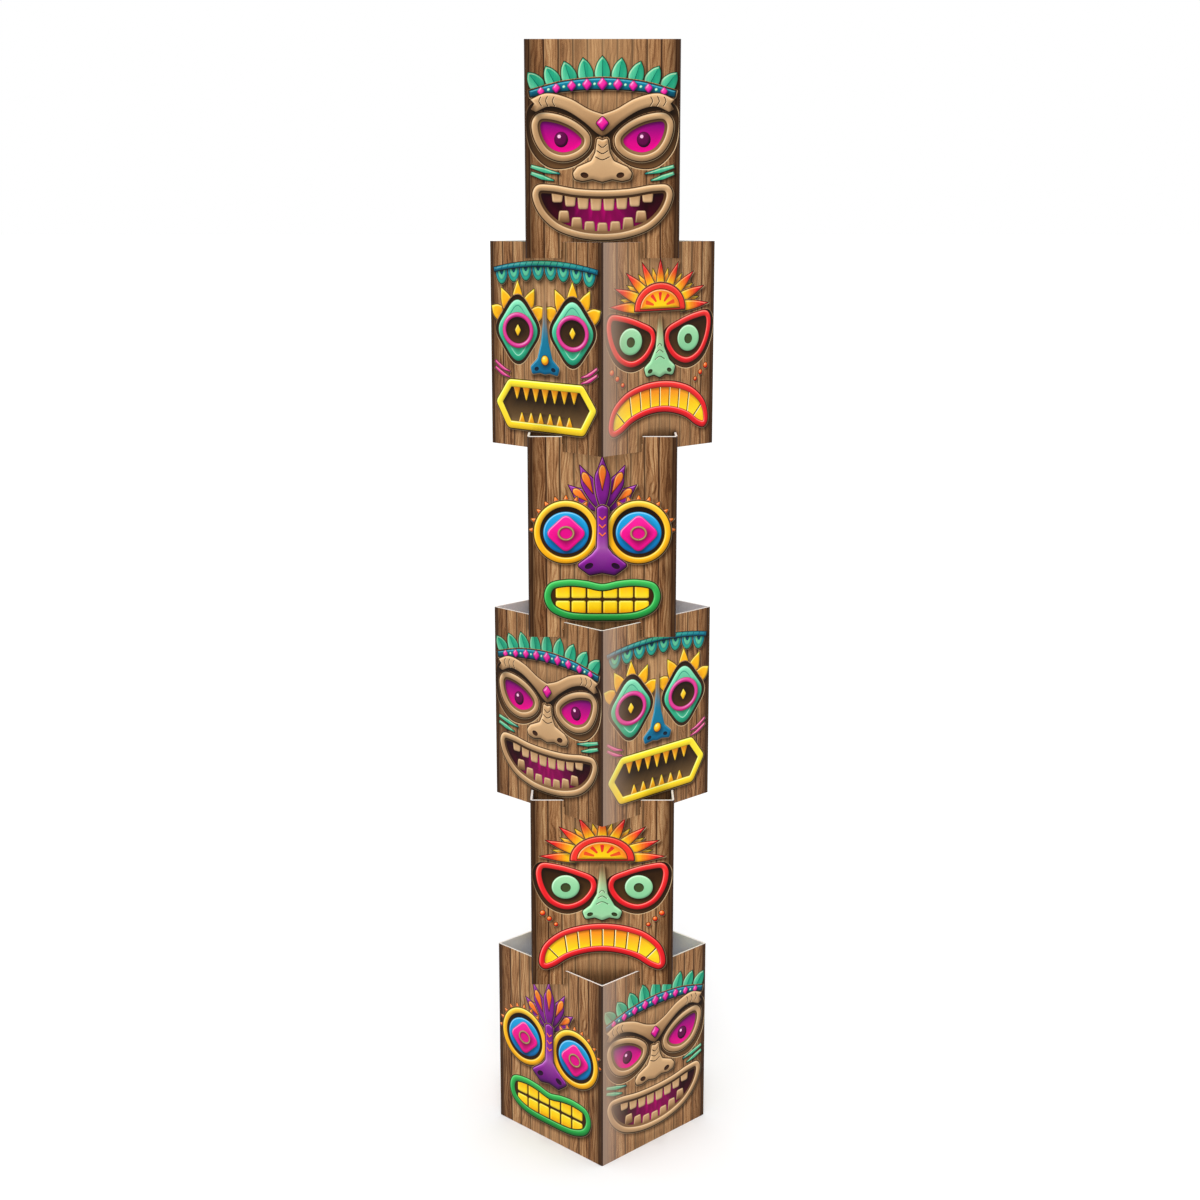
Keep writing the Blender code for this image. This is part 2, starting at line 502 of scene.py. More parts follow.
class Art:
    """A drawing: shapes laid over one another, the last on top."""

    def __init__(self):
        self.shapes = []
        self.airbrush = []         # soft light and shade on the bare planks
        self.points = []           # extra mesh points where they need them
        self.lift = 0.0            # what is drawn next lies this far further down

    def add(self, p, finish, edges=None, shadow=None, clip=(), through=0.0, rings=None):
        """Lays a shape on the drawing and returns its number. edges are the
        outlines that its finish measures from, its own unless given; clip are
        the numbers of the shapes that it shows inside of; through is how far
        the planks' grain shows through its ink."""
        move = np.array([0.0, self.lift])
        p = turned(pts(p)) + move
        edges = [(p, 1.0)] if edges is None else [(e + move, side) for e, side in edges]
        for c in clip:
            p = common(p, self.shapes[c - 1]["p"])
            if p is None:
                return len(self.shapes)
        self.shapes.append({
            "p": p, "finish": lambda q, d, lit: finish(q - move, d, lit),
            "measured": bool(finish.rings) or getattr(finish, "measured", False),
            "shadow": shadow, "clip": tuple(clip), "edges": edges, "through": through,
            "rings": finish.rings if rings is None else rings,
        })
        return len(self.shapes)

    def groove(self, p, dark=1.3, light=1.0, alpha=0.9, side=1.0):
        """The line cut round a shape: dark next to it, and a pale rim beyond
        it that is brighter away from the light."""
        far = grown(p, dark + light)
        near = grown(p, dark)
        rim = rgb(222, 190, 146)
        if far is not None and light > 0:
            def glow(q, d, lit):
                a = alpha * np.clip(0.35 - 0.65 * lit * side, 0.08, 1.0)
                return np.concatenate([flat(rim)(q), a[:, None]], 1)
            glow.rings = ()
            glow.measured = True
            self.add(far, glow)
        if near is not None:
            self.add(near, plain(flat(rgb(46, 26, 12))))

    def smudge(self, cx, cy, rx, ry, amount, tilt=0.0):
        """Soft shade (amount below 0) or light (above 0) on the planks."""
        cy = cy + self.lift
        a = math.radians(tilt)
        m = np.array([[math.cos(a), -math.sin(a)], [math.sin(a), math.cos(a)]])

        def f(q):
            u = (q - (cx, cy)) @ m / (rx, ry)
            return 1 + amount * np.exp(-2.2 * (u ** 2).sum(1))
        self.airbrush.append(f)
        ring = oval(cx, cy, rx * 0.6, ry * 0.6, tilt, step=5)
        self.points.append(ring)
        self.points.append(oval(cx, cy, rx * 0.25, ry * 0.25, tilt, step=5))

    # ---- from the drawing to a mesh
    def measure(self, shape, q):
        dist = np.full(len(q), 1e9)
        lit = np.zeros(len(q))
        for p, side in shape["edges"]:
            d, way = nearest(q, p)
            closer = d < dist
            dist = np.where(closer, d, dist)
            lit = np.where(closer, -side * (way @ SKY), lit)
        return dist, lit

    def covers(self, k, q):
        """Which of the points lie under shape k."""
        s = self.shapes[k]
        low, high = s["p"].min(0), s["p"].max(0)
        hit = np.all((q > low) & (q < high), axis=1)
        if hit.any():
            hit[hit] = within(q[hit], s["p"])
        for c in s["clip"]:
            if hit.any():
                hit[hit] = within(q[hit], self.shapes[c - 1]["p"])
        return hit

    def soft_points(self):
        """Where the mesh needs points besides the outlines."""
        found = []
        for k, s in enumerate(self.shapes):
            q = []
            for d in s["rings"]:
                for p, side in s["edges"]:
                    _, way = nearest(p, p)
                    r = p + way * d * side
                    keep = nearest(r, p)[0] > 0.93 * d
                    r = r[keep]
                    if len(r):
                        q.append(r)
            if not q:
                continue
            q = np.vstack(q)
            q = q[self.covers(k, q)]
            for j in range(k + 1, len(self.shapes)):
                if len(q):
                    q = q[~self.covers(j, q)]
            found.append(q)
        # the planks: a loose grid, and rings where shadows fall
        x, y = np.meshgrid(np.arange(-113, 114, 7.4), np.arange(3, 318, 7.4))
        x = x + (np.arange(x.shape[0]) % 2)[:, None] * 3.7
        bare = [np.stack([x.ravel(), y.ravel()], 1)]
        for s in self.shapes:
            if s["shadow"]:
                dx, dy, blur, _ = s["shadow"]
                p = s["p"]
                _, way = nearest(p, p)
                for d in (-0.2 * blur, blur * 0.45, blur):
                    bare.append(p + (dx, dy) - way * d)
        bare += self.points
        bare = np.vstack(bare)
        for k in range(len(self.shapes)):
            if "over" in self.shapes[k]:
                continue
            bare = bare[~self.covers(k, bare)] if self.shapes[k]["shadow"] or area(self.shapes[k]["p"]) > 300 else bare
        found.append(bare)
        q = np.vstack(found)
        _, first = np.unique(np.round(q / 0.5).astype(int), axis=0, return_index=True)
        return q[np.sort(first)]

    def threaded(self):
        """The outlines, with a point more wherever one passes under or over
        another shape at a distance from its edge at which its light turns."""
        out = []
        for j, s in enumerate(self.shapes):
            p = s["p"]
            ab = np.roll(p, -1, 0) - p
            seg, t = [], []
            for i, l in enumerate(np.hypot(*ab.T)):
                n = int(l / 0.4) + 2
                seg.append(np.full(n, i))
                t.append(np.linspace(0, 1, n))
            seg, t = np.concatenate(seg), np.concatenate(t)
            q = p[seg] + ab[seg] * t[:, None]
            same = seg[:-1] == seg[1:]
            more = []
            for k, o in enumerate(self.shapes):
                if k == j or not o["rings"]:
                    continue
                low, high = o["p"].min(0), o["p"].max(0)
                near = np.nonzero(np.all((q > low) & (q < high), axis=1))[0]
                if not len(near):
                    continue
                near = near[within(q[near], o["p"])]
                if not len(near):
                    continue
                d = np.full(len(q), -1.0)
                d[near] = self.measure(o, q[near])[0]
                for r in o["rings"]:
                    past = same & ((d[:-1] - r) * (d[1:] - r) < 0) & (d[:-1] > 0) & (d[1:] > 0)
                    for m in np.nonzero(past)[0]:
                        w = (r - d[m]) / (d[m + 1] - d[m])
                        more.append((seg[m], t[m] + w * (t[m + 1] - t[m])))
            more.sort()
            line = []
            for i in range(len(p)):
                line.append(p[i])
                for a, u in more:
                    if a == i:
                        v = p[i] + ab[i] * u
                        if min(np.hypot(*(v - line[-1])), np.hypot(*(v - p[i] - ab[i]))) > 0.35:
                            line.append(v)
            out.append(np.array(line))
        return out

    def press(self, outline, bare_top=0.0, extra=()):
        """Cuts the drawing into one flat mesh within the panel's outline.
        Gives the points, the triangles, and for every corner of every
        triangle its ink (with its cover) and its tone (shade, grain)."""
        shapes = list(self.shapes)
        if not hasattr(self, "threads"):
            self.threads = self.threaded()
        threads = list(self.threads)
        if bare_top:
            strip = straight([(-130, -3), (130, -3), (130, bare_top), (-130, bare_top)], 8)
            threads.append(turned(strip))
            shapes.append({
                "p": turned(strip), "finish": plain(flat(rgb(236, 231, 225))), "shadow": None,
                "clip": (), "edges": [(turned(strip), 1.0)], "through": 0.0, "rings": (),
                "measured": False,
            })
        loops = [outline] + threads
        if not hasattr(self, "soft"):
            self.soft = self.soft_points()
        q = self.soft
        if len(extra):
            extra = np.array(extra)
            gap = np.array([np.hypot(*(extra - v).T).min() for v in q])
            q = np.vstack([q[gap > 1.3], extra])
        q = q[within(q, outline)]
        q = q[nearest(q, outline)[0] > 0.8]
        taken = np.unique(np.round(np.vstack(loops) / 0.45).astype(int), axis=0)
        mine = np.round(q / 0.45).astype(int)
        taken = set(map(tuple, taken))
        q = q[[tuple(m) not in taken for m in mine]]
        spans, start = [], 0
        for p in loops:
            spans.append(list(range(start, start + len(p))))
            start += len(p)
        every = np.vstack(loops + [q])
        flat_points, _, faces, _, _, owners = delaunay_2d_cdt(
            [Vector((float(a), float(b))) for a, b in every], [], spans, 0, 0.01, True
        )
        co = np.array([(v.x, v.y) for v in flat_points])
        clips = [()] + [s["clip"] for s in shapes]
        tris, tops = [], []
        for f, own in zip(faces, owners):
            if 0 not in own:
                continue
            own = set(own)
            top = 0
            for k in sorted(own, reverse=True):
                if k and all(c in own for c in clips[k]):
                    top = k
                    break
            tris.append(f)
            tops.append(top)
        tris, tops = np.array(tris), np.array(tops)
        used = np.unique(tris)
        back = np.full(len(co), -1)
        back[used] = np.arange(len(used))
        co, tris = co[used], back[tris]

        ink = np.zeros((len(tris), 3, 4))
        tone = np.zeros((len(tris), 3, 4))
        light = np.ones(len(co))
        for f in self.airbrush:
            light *= f(co)
        for k in np.unique(tops):
            mask = tops == k
            idx, inv = np.unique(tris[mask], return_inverse=True)
            inv = inv.reshape(-1, 3)
            p = co[idx]
            shade = np.ones(len(idx))
            for j in range(k, len(shapes)):
                cast = shapes[j]["shadow"]
                # what lies inside a shape throws no shadow out of it
                if not cast or any(c != k and c not in clips[k] for c in shapes[j]["clip"]):
                    continue
                dx, dy, blur, strength = cast
                outline_j = shapes[j]["p"]
                moved = p - (dx, dy)
                low, high = outline_j.min(0) - blur, outline_j.max(0) + blur
                near = np.all((moved > low) & (moved < high), axis=1)
                if near.any():
                    sd = nearest(moved[near], outline_j)[0]
                    sd = np.where(within(moved[near], outline_j), -sd, sd)
                    shade[near] *= 1 - strength * (1 - smooth(-blur * 0.6, blur, sd))
            values = np.zeros((len(idx), 4))
            through = 0.0
            if k:
                s = shapes[k - 1]
                d, lit = np.full(len(p), 9.0), np.zeros(len(p))
                if s["measured"]:
                    d, lit = self.measure(s, p)
                c = s["finish"](p, d, lit)
                values[:, 3] = c[:, 3] if c.shape[1] == 4 else 1.0
                values[:, :3] = to_linear(c[:, :3]) * (shade ** 1.8)[:, None]
                through = s["through"]
            else:
                values[:, :3] = to_linear(rgb(140, 100, 66))
            ink[mask] = values[inv]
            t = np.zeros((len(idx), 4))
            t[:, 0] = shade * light[idx]
            t[:, 1] = through
            tone[mask] = t[inv]
        return co, tris, ink, tone


# ------------------------------------------------------------------- the masks
DROP = (3.0, 4.5, 6.0, 0.55)           # the soft shadow that a raised shape casts
NEAR_DROP = (1.6, 2.4, 3.2, 0.50)


def both(shape):
    """A shape and its mirror image."""
    return [shape, flip(shape)]


def rim(a, outer, width, finish_outer, finish_inner, shadow=DROP, groove=True, clip=()):
    """A ring with something inside it. Returns the numbers of ring and inside."""
    inner = grown(outer, -width)
    inner = even(inner, STEP)
    if groove:
        a.groove(outer)
    ring = a.add(outer, finish_outer, edges=[(turned(outer), 1.0), (inner, -1.0)],
                 shadow=shadow, clip=clip)
    core = a.add(inner, finish_inner, clip=clip)
    return ring, core, inner


def leaf(base, tip, wide, belly=0.42):
    """A pointed leaf from its base to its tip."""
    base, tip = np.array(base, float), np.array(tip, float)
    way = tip - base
    n = np.array([-way[1], way[0]]) / np.hypot(*way) * wide / 2
    one = curve([base, base + way * belly * 0.5 + n * 0.82, base + way * belly + n,
                 base + way * 0.78 + n * 0.62, tip])
    two = curve([tip, base + way * 0.78 - n * 0.62, base + way * belly - n,
                 base + way * belly * 0.5 - n * 0.82, base])
    return join(one, two)


def drop(base, tip, wide):
    """A teardrop, round at the tip."""
    base, tip = np.array(base, float), np.array(tip, float)
    way = tip - base
    long = np.hypot(*way)
    n = np.array([-way[1], way[0]]) / long * wide / 2
    return join(curve([base, base + way * 0.35 + n * 0.55, base + way * 0.72 + n,
                       base + way * 0.93 + n * 0.62, tip,
                       base + way * 0.93 - n * 0.62, base + way * 0.72 - n,
                       base + way * 0.35 - n * 0.55, base]))


def seam(a, line, wide=1.5, clip=(), dark=LIP, light=None):
    """A cut line, with a thin light one beside it."""
    line = pts(line)
    if light is not None:
        a.add(band(line + (wide * 0.8, wide * 0.35), [wide * 0.8] * 2), plain(flat(light)), clip=clip)
    a.add(band(line, [wide] * 2), plain(flat(dark)), clip=clip)


def mask_a():
    """Leaf crown, half-closed tan eyes, stepped nose, wide toothed grin."""
    a = Art()
    a.smudge(0, 112, 34, 22, -0.22)
    a.smudge(-92, 205, 22, 26, -0.20)
    a.smudge(92, 205, 22, 26, -0.20)
    a.smudge(0, 312, 70, 12, -0.12)

    # a crown of leaves on a headband, magenta drops between the leaves
    places = [(-4, 4), (-3, 3), (-2, 2), (-1, 1), (0,)]
    for group in places:
        for k in group:
            lean = k * 9.5
            x = k * 23.0
            y = 62 + 0.00125 * x * x
            r = math.radians(lean)
            long = 38 - 1.6 * abs(k)
            tip = (x + math.sin(r) * long, y - math.cos(r) * long)
            p = leaf((x - math.sin(r) * 4, y + math.cos(r) * 4), tip, 23)
            n = np.array([math.cos(r), math.sin(r)]) * 11.5
            mid = np.array([x, y]) * 0.5 + np.array(tip) * 0.5
            a.groove(p, dark=0.9, light=0.0)
            a.add(p, carved(along(mid - n, mid + n, (0, MINT), (0.47, TEAL),
                                  (0.53, TEAL_DEEP), (1, TEAL)), wide=4, depth=0.22),
                  shadow=NEAR_DROP, through=0.35)
            rib = [np.array((x, y)), np.array(tip) * 0.84 + np.array((x, y)) * 0.16]
            a.add(band(straight(rib, 6, False), [1.6, 0.5]), plain(flat(rgb(10, 96, 84))))
    hair = curve([(-109, 79), (-60, 68.5), (0, 64), (60, 68.5), (109, 79)])
    belt = band(hair, [9, 14, 16, 14, 9])
    a.groove(belt)
    a.add(belt, carved(along((0, 56), (0, 80), PETROL, PETROL, PETROL_DEEP), wide=4.5,
                       depth=0.35, pale=rgb(130, 214, 220)), shadow=DROP, through=0.25)
    for k in range(-4, 5):
        x = k * 23.0
        y = 64.5 + 0.00128 * x * x
        s = 1.0 - 0.07 * abs(k)
        gem = soft([(x, y - 10.5 * s), (x + 8.5 * s, y), (x, y + 10.5 * s), (x - 8.5 * s, y)], 2.4)
        a.add(gem, tube(around(x - 2, y - 3, 12, rgb(246, 70, 170), MAGENTA), MAGENTA_DEEP,
                        4.2 * s, gloss=0.9), shadow=NEAR_DROP)
        if k < 4:
            xm = x + 11.5
            ym = 64.5 + 0.00128 * xm * xm
            a.add(oval(xm, ym, 2.6, step=1.6), tube(flat(rgb(176, 240, 206)), TEAL_DEEP, 2.4))

    # the hollows that the eyes lie in
    a.lift = -14.0
    for p in both(blob([(5, 146), (22, 124), (52, 106), (86, 101), (109, 112), (113, 142),
                        (105, 176), (80, 199), (46, 198), (18, 178)])):
        a.groove(p, dark=1.2, light=1.3)
        a.add(p, hollow(down(100, 196, rgb(58, 36, 16), rgb(66, 42, 20), rgb(96, 66, 38)), wide=8))
    # a wing of carved wood over both eyes
    wing = join(
        curve([(0, 122), (20, 115), (50, 99), (84, 92), (108, 101)]),
        [(108, 101), (102, 107), (107, 115), (100, 119)],
        curve([(100, 119), (80, 111), (56, 116), (28, 133), (8, 150), (0, 154)]),
        curve([(0, 154), (-8, 150), (-28, 133), (-56, 116), (-80, 111), (-100, 119)]),
        [(-100, 119), (-107, 115), (-102, 107), (-108, 101)],
        curve([(-108, 101), (-84, 92), (-50, 99), (-20, 115), (0, 122)]),
    )
    # eyes: half-moons under the wing
    for s in (1, -1):
        eye = blob([(19, 154), (36, 136), (68, 122), (96, 121), (106, 134), (102, 160),
                    (86, 182), (60, 191), (34, 184), (20, 170)])
        if s < 0:
            eye = flip(eye)
        ring, core, inner = rim(
            a, eye, 9.5,
            carved(down(118, 192, TAN_LIGHT, TAN, TAN), wide=5.5, depth=0.34, shine=0.9),
            hollow(down(124, 188, rgb(92, 62, 36), rgb(120, 86, 54), rgb(150, 114, 78)), wide=4, depth=0.5),
            shadow=(2.5, 4, 5, 0.5))
        a.add(even(grown(inner, -3.6), STEP),
              hollow(down(130, 184, rgb(104, 0, 104), rgb(168, 0, 122), MAGENTA, rgb(230, 0, 130)),
                     wide=6, depth=0.45))
        x = 62 * s
        a.add(oval(x, 159, 10.5, 11.5, step=2), tube(flat(rgb(92, 4, 66)), rgb(40, 0, 30), 6, gloss=0.25))
        a.add(oval(x - 3, 154.5, 2.6, step=1.5), plain(flat(rgb(252, 190, 226))))
    a.groove(wing, dark=1.1, light=0.0)
    a.add(wing, carved(down(92, 156, TAN_LIGHT, TAN, TAN_DEEP), wide=6, depth=0.34),
          shadow=(2, 6, 7, 0.6))
    for s in (1, -1):
        for k in range(3):
            x = (72 + k * 10) * s
            line = curve([(x, 96 + abs(k - 1) * 0.8), (x + 3.2 * s, 103), (x - 1 * s, 110.5)], step=4)
            seam(a, line, 1.3, light=rgb(222, 188, 146))
    gem = soft([(0, 124.5), (10, 135), (0, 147), (-10, 135)], 2.5)
    a.groove(gem, dark=0.9, light=0)
    a.add(gem, tube(down(122, 148, rgb(246, 60, 166), MAGENTA), MAGENTA_DEEP, 5, gloss=0.9),
          shadow=NEAR_DROP)

    # a stepped nose with three cuts across it
    half = [(0, 160), (8, 156), (11, 178), (17, 190), (38, 199), (45, 208), (42, 217), (30, 220),
            (15, 217), (0, 221)]
    nose = soft(whole(half), 5)
    a.groove(nose)
    a.add(nose, carved(down(156, 222, TAN, TAN_LIGHT, TAN_LIGHT, TAN), wide=7, depth=0.34),
          shadow=DROP)
    for p in both(oval(27, 211, 6.2, 4.2, -12, step=1.8)):
        a.add(p, hollow(flat(rgb(60, 34, 18)), wide=4))
    for k in range(3):
        y = 168 + k * 9
        w = 6.5 + k * 2.2
        seam(a, curve([(-w, y - 2), (0, y + 2.5), (w, y - 2)], step=3), 1.5, light=rgb(226, 190, 146))

    # painted bars on the cheeks
    for s in (1, -1):
        for k in range(2):
            y = 203 + k * 10
            bar = band(curve([(64 * s + k * 9 * s, y + 6), (84 * s + k * 4 * s, y + 2), (108 * s, y - 5)]),
                       [2, 7, 5])
            a.groove(bar, dark=0.8, light=0)
            a.add(bar, carved(along((50 * s, 0), (112 * s, 0), PETROL, TEAL, MINT), wide=3, depth=0.25),
                  shadow=NEAR_DROP, through=0.3)

    # the mouth
    a.lift = 0.0
    mouth = blob([(-106, 224), (-99, 212), (-78, 211), (-40, 217), (0, 219), (40, 217), (78, 211),
                  (99, 212), (106, 224), (98, 250), (74, 275), (38, 289), (0, 293), (-38, 289),
                  (-74, 275), (-98, 250)])
    lips, core, inner = rim(
        a, mouth, 9.5,
        carved(down(210, 294, TAN_LIGHT, TAN, TAN, TAN_LIGHT), wide=6, depth=0.36, shine=0.9),
        hollow(down(218, 286, rgb(80, 52, 28), rgb(104, 72, 44), rgb(140, 104, 70)), wide=5, depth=0.5))
    core = a.add(even(grown(inner, -3.6), STEP), hollow(
        around(0, 254, 88, rgb(228, 0, 132), MAGENTA, rgb(150, 0, 92), MAROON, rgb(40, 2, 12),
               squeeze=1.3), wide=7, depth=0.6))
    top_edge = lambda x: 229.5 - 0.00125 * x * x
    low_edge = lambda x: 282.0 - 0.0064 * x * x
    for k in range(8):
        x = -68.25 + k * 19.5
        y = top_edge(x)
        deep = 20 - 0.0014 * x * x
        t = soft([(x - 9.3, y - 6), (x + 9.3, y - 6), (x + 7.2, y + deep), (x - 7.2, y + deep)],
                 [0.5, 0.5, 2.6, 2.6])
        a.add(t, carved(down(y - 4, y + deep, rgb(128, 92, 60), TAN, TAN_LIGHT, rgb(206, 168, 124)),
                        wide=3.5, depth=0.25, shine=0.5), shadow=NEAR_DROP, clip=(core,),
              edges=[(t, 1.0)])
    for k in range(7):
        x = -58.5 + k * 19.5
        y = low_edge(x)
        deep = 15 - 0.0012 * x * x
        t = soft([(x - 7.0, y - deep), (x + 7.0, y - deep), (x + 9.2, y + 7), (x - 9.2, y + 7)],
                 [2.6, 2.6, 0.5, 0.5])
        a.add(t, carved(down(y - deep, y + 3, rgb(204, 166, 122), TAN, rgb(122, 88, 56)),
                        wide=3.5, depth=0.25, shine=0.5), shadow=(0.6, -1.6, 3, 0.45), clip=(core,),
              edges=[(t, 1.0)])
    return a


def mask_b():
    """Hanging scallops, rayed brows, diamond eye plates, wedge nose, fangs."""
    a = Art()
    a.smudge(0, 88, 16, 26, 0.14)
    a.smudge(0, 206, 40, 12, -0.30)
    a.smudge(-100, 200, 18, 24, -0.18)
    a.smudge(100, 200, 18, 24, -0.18)
    a.smudge(0, 306, 90, 12, -0.16)

    # scallops hang from a cord across the forehead
    sag = lambda x: 33 + 0.00095 * x * x
    for k in range(8):
        x = -91 + k * 26.0
        y = sag(x)
        cup = join(arc(x, y + 2, 13, 180, 0, ry=23))
        a.groove(cup, dark=1.0, light=0.9)
        a.add(cup, carved(down(y, y + 26, PETROL, rgb(20, 140, 150), TEAL), wide=3.5, depth=0.3,
                          pale=rgb(170, 236, 214)), shadow=DROP, through=0.25)
        inner = join(arc(x, y + 2, 8.6, 180, 0, ry=16.5))
        a.add(inner, carved(down(y, y + 20, TEAL, MINT), wide=3, depth=0.2), through=0.25)
        dot = join(arc(x, y + 2, 4.4, 180, 0, ry=9))
        a.add(dot, hollow(flat(PETROL_DEEP), wide=3))
    rope = band(curve([(x, sag(x)) for x in range(-108, 109, 12)]), [7, 8.5, 8.5, 7])
    a.groove(rope, dark=0.9, light=0.0)
    a.add(rope, tube(along((-108, 0), (108, 0), PETROL, TEAL, PETROL), PETROL_DEEP, 4, gloss=0.55),
          shadow=NEAR_DROP)
    for k in range(17):
        x = -104 + k * 13.0
        seam(a, [(x - 2, sag(x) + 3.6), (x + 2, sag(x) - 3.6)], 1.2, dark=rgb(4, 66, 84))

    # rays over each eye, then the plates
    a.lift = -5.0
    for s in (1, -1):
        cx, cy = 57 * s, 141
        for k, ang in enumerate((-148, -119, -90, -61, -32)):
            t = math.radians(ang)
            n = np.array([-math.sin(t), math.cos(t)])
            out = np.array([math.cos(t), math.sin(t)])
            reach = (67, 74, 77, 74, 67)[k]
            root = np.array([cx, cy]) + out * 40
            tip = np.array([cx, cy]) + out * reach
            ray = join(curve([root + n * 13, root + out * 16 + n * 9.5, tip], step=2.5),
                       curve([tip, root + out * 16 - n * 9.5, root - n * 13], step=2.5))
            a.groove(ray, dark=0.9, light=0.9)
            a.add(ray, carved(along(root, tip, AMBER_DEEP, AMBER, AMBER, YELLOW), wide=4.5,
                              depth=0.30, pale=rgb(255, 244, 190)), shadow=DROP)
        bed = soft([(cx, cy - 66), (cx + 53, cy), (cx, cy + 66), (cx - 53, cy)], 26)
        a.groove(bed, dark=1.2, light=1.4)
        a.add(bed, hollow(down(cy - 60, cy + 60, rgb(52, 30, 14), rgb(80, 54, 30)), wide=6),
              shadow=None)
        plate = soft([(cx, cy - 58), (cx + 48, cy + 1), (cx, cy + 61), (cx - 48, cy + 1)], 24)
        a.add(plate, carved(down(cy - 55, cy + 58, rgb(136, 214, 178), MINT, TEAL, rgb(52, 178, 134),
                                 TEAL_DEEP), wide=7, depth=0.30, pale=rgb(214, 248, 230)),
              shadow=(2, 3.5, 4.5, 0.5))
        # one cut line inside the plate, light along its lower side
        trace = grown(plate, -8)
        inside = grown(plate, -9.6)
        a.add(trace, plain(along((cx - 30, cy - 40), (cx + 30, cy + 40), rgb(20, 132, 104),
                                 rgb(190, 240, 214))))
        a.add(inside, plain(down(cy - 45, cy + 50, rgb(120, 208, 168), rgb(78, 192, 148), TEAL)))
        lash = oval(cx, cy + 1, 33, 28)
        ring, core, inner = rim(
            a, lash, 7.6, tube(down(cy - 25, cy + 25, rgb(226, 64, 150), PINK), PINK_DEEP, 3.8, gloss=0.85,
                               pale=rgb(255, 214, 236)),
            hollow(down(cy - 20, cy + 20, rgb(40, 24, 10), rgb(72, 46, 22)), wide=6), shadow=NEAR_DROP,
            groove=False)
        star = soft([(cx, cy - 9), (cx + 6.5, cy + 1), (cx, cy + 11), (cx - 6.5, cy + 1)], 1.4)
        a.add(star, carved(down(cy - 9, cy + 11, YELLOW, AMBER), wide=3, depth=0.3), clip=(core,),
              shadow=NEAR_DROP)

    # a blue wedge of a nose that fades up into the wood
    half = [(0, 92), (2.5, 96), (4.5, 130), (8, 158), (16, 184), (31, 197), (27, 209), (10, 206), (0, 208)]
    nose = soft(whole(half), 4)
    a.add(grown(nose, 1.4), plain(fade(flat(rgb(206, 168, 124)), lambda q: 0.8 * smooth(120, 170, q[:, 1]))))
    a.add(nose, carved(fade(down(100, 208, rgb(40, 110, 130), rgb(26, 120, 150), rgb(14, 116, 150),
                                 rgb(8, 100, 140)), lambda q: smooth(96, 158, q[:, 1])),
                       wide=5, depth=0.3, pale=rgb(150, 214, 230), lip=0.3), shadow=(2, 5, 5, 0.5))
    for p in both(oval(17.5, 200, 4.8, 3.2, 14, step=1.6)):
        a.add(p, hollow(flat(rgb(16, 34, 52)), wide=3))
    ball = oval(0, 186, 7.5, step=1.8)
    a.groove(ball, dark=0.8, light=0)
    a.add(ball, tube(around(-2, 183, 9, YELLOW, AMBER), AMBER_DEEP, 6, gloss=0.8), shadow=NEAR_DROP)

    # cheek bars
    for s in (1, -1):
        for k in range(2):
            bar = band(curve([(74 * s, 208 + k * 9), (90 * s, 203 + k * 9), (107 * s, 192 + k * 10)]), [1.5, 6, 4])
            a.groove(bar, dark=0.8, light=0.6)
            a.add(bar, carved(flat(PINK), wide=3, depth=0.3), shadow=NEAR_DROP)

    # the mouth: a six-sided yellow rim, dark inside, with fangs
    a.lift = -5.5
    mouth = soft([(-106, 257), (-78, 220), (78, 220), (106, 257), (80, 298), (-80, 298)],
                 [9, 12, 12, 9, 12, 12])
    lips, core, inner = rim(
        a, mouth, 12,
        carved(down(222, 298, YELLOW, rgb(255, 232, 60), rgb(252, 206, 34)), wide=6, depth=0.26,
               pale=rgb(255, 252, 214), shine=0.85),
        hollow(down(232, 290, rgb(42, 26, 10), rgb(74, 52, 28), rgb(118, 92, 58)), wide=8, depth=0.55))
    for k in range(7):
        x = -60 + k * 20.0
        fang = soft([(x - 9.6, 226), (x + 9.6, 226), (x, 257 - abs(k - 3) * 1.2)], [0.5, 0.5, 1.6])
        a.add(fang, carved(down(232, 256, AMBER_DEEP, AMBER, YELLOW), wide=4, depth=0.3,
                           pale=rgb(255, 250, 200)), clip=(core,), shadow=NEAR_DROP,
              edges=[(fang, 1.0)])
    for k in range(6):
        x = -50 + k * 20.0
        fang = soft([(x - 9.3, 292), (x + 9.3, 292), (x, 266 + abs(k - 2.5) * 1.2)], [0.5, 0.5, 1.6])
        a.add(fang, carved(down(266, 290, YELLOW, AMBER, AMBER_DEEP), wide=4, depth=0.3,
                           pale=rgb(255, 250, 200)), clip=(core,), shadow=NEAR_DROP,
              edges=[(fang, 1.0)])
    return a


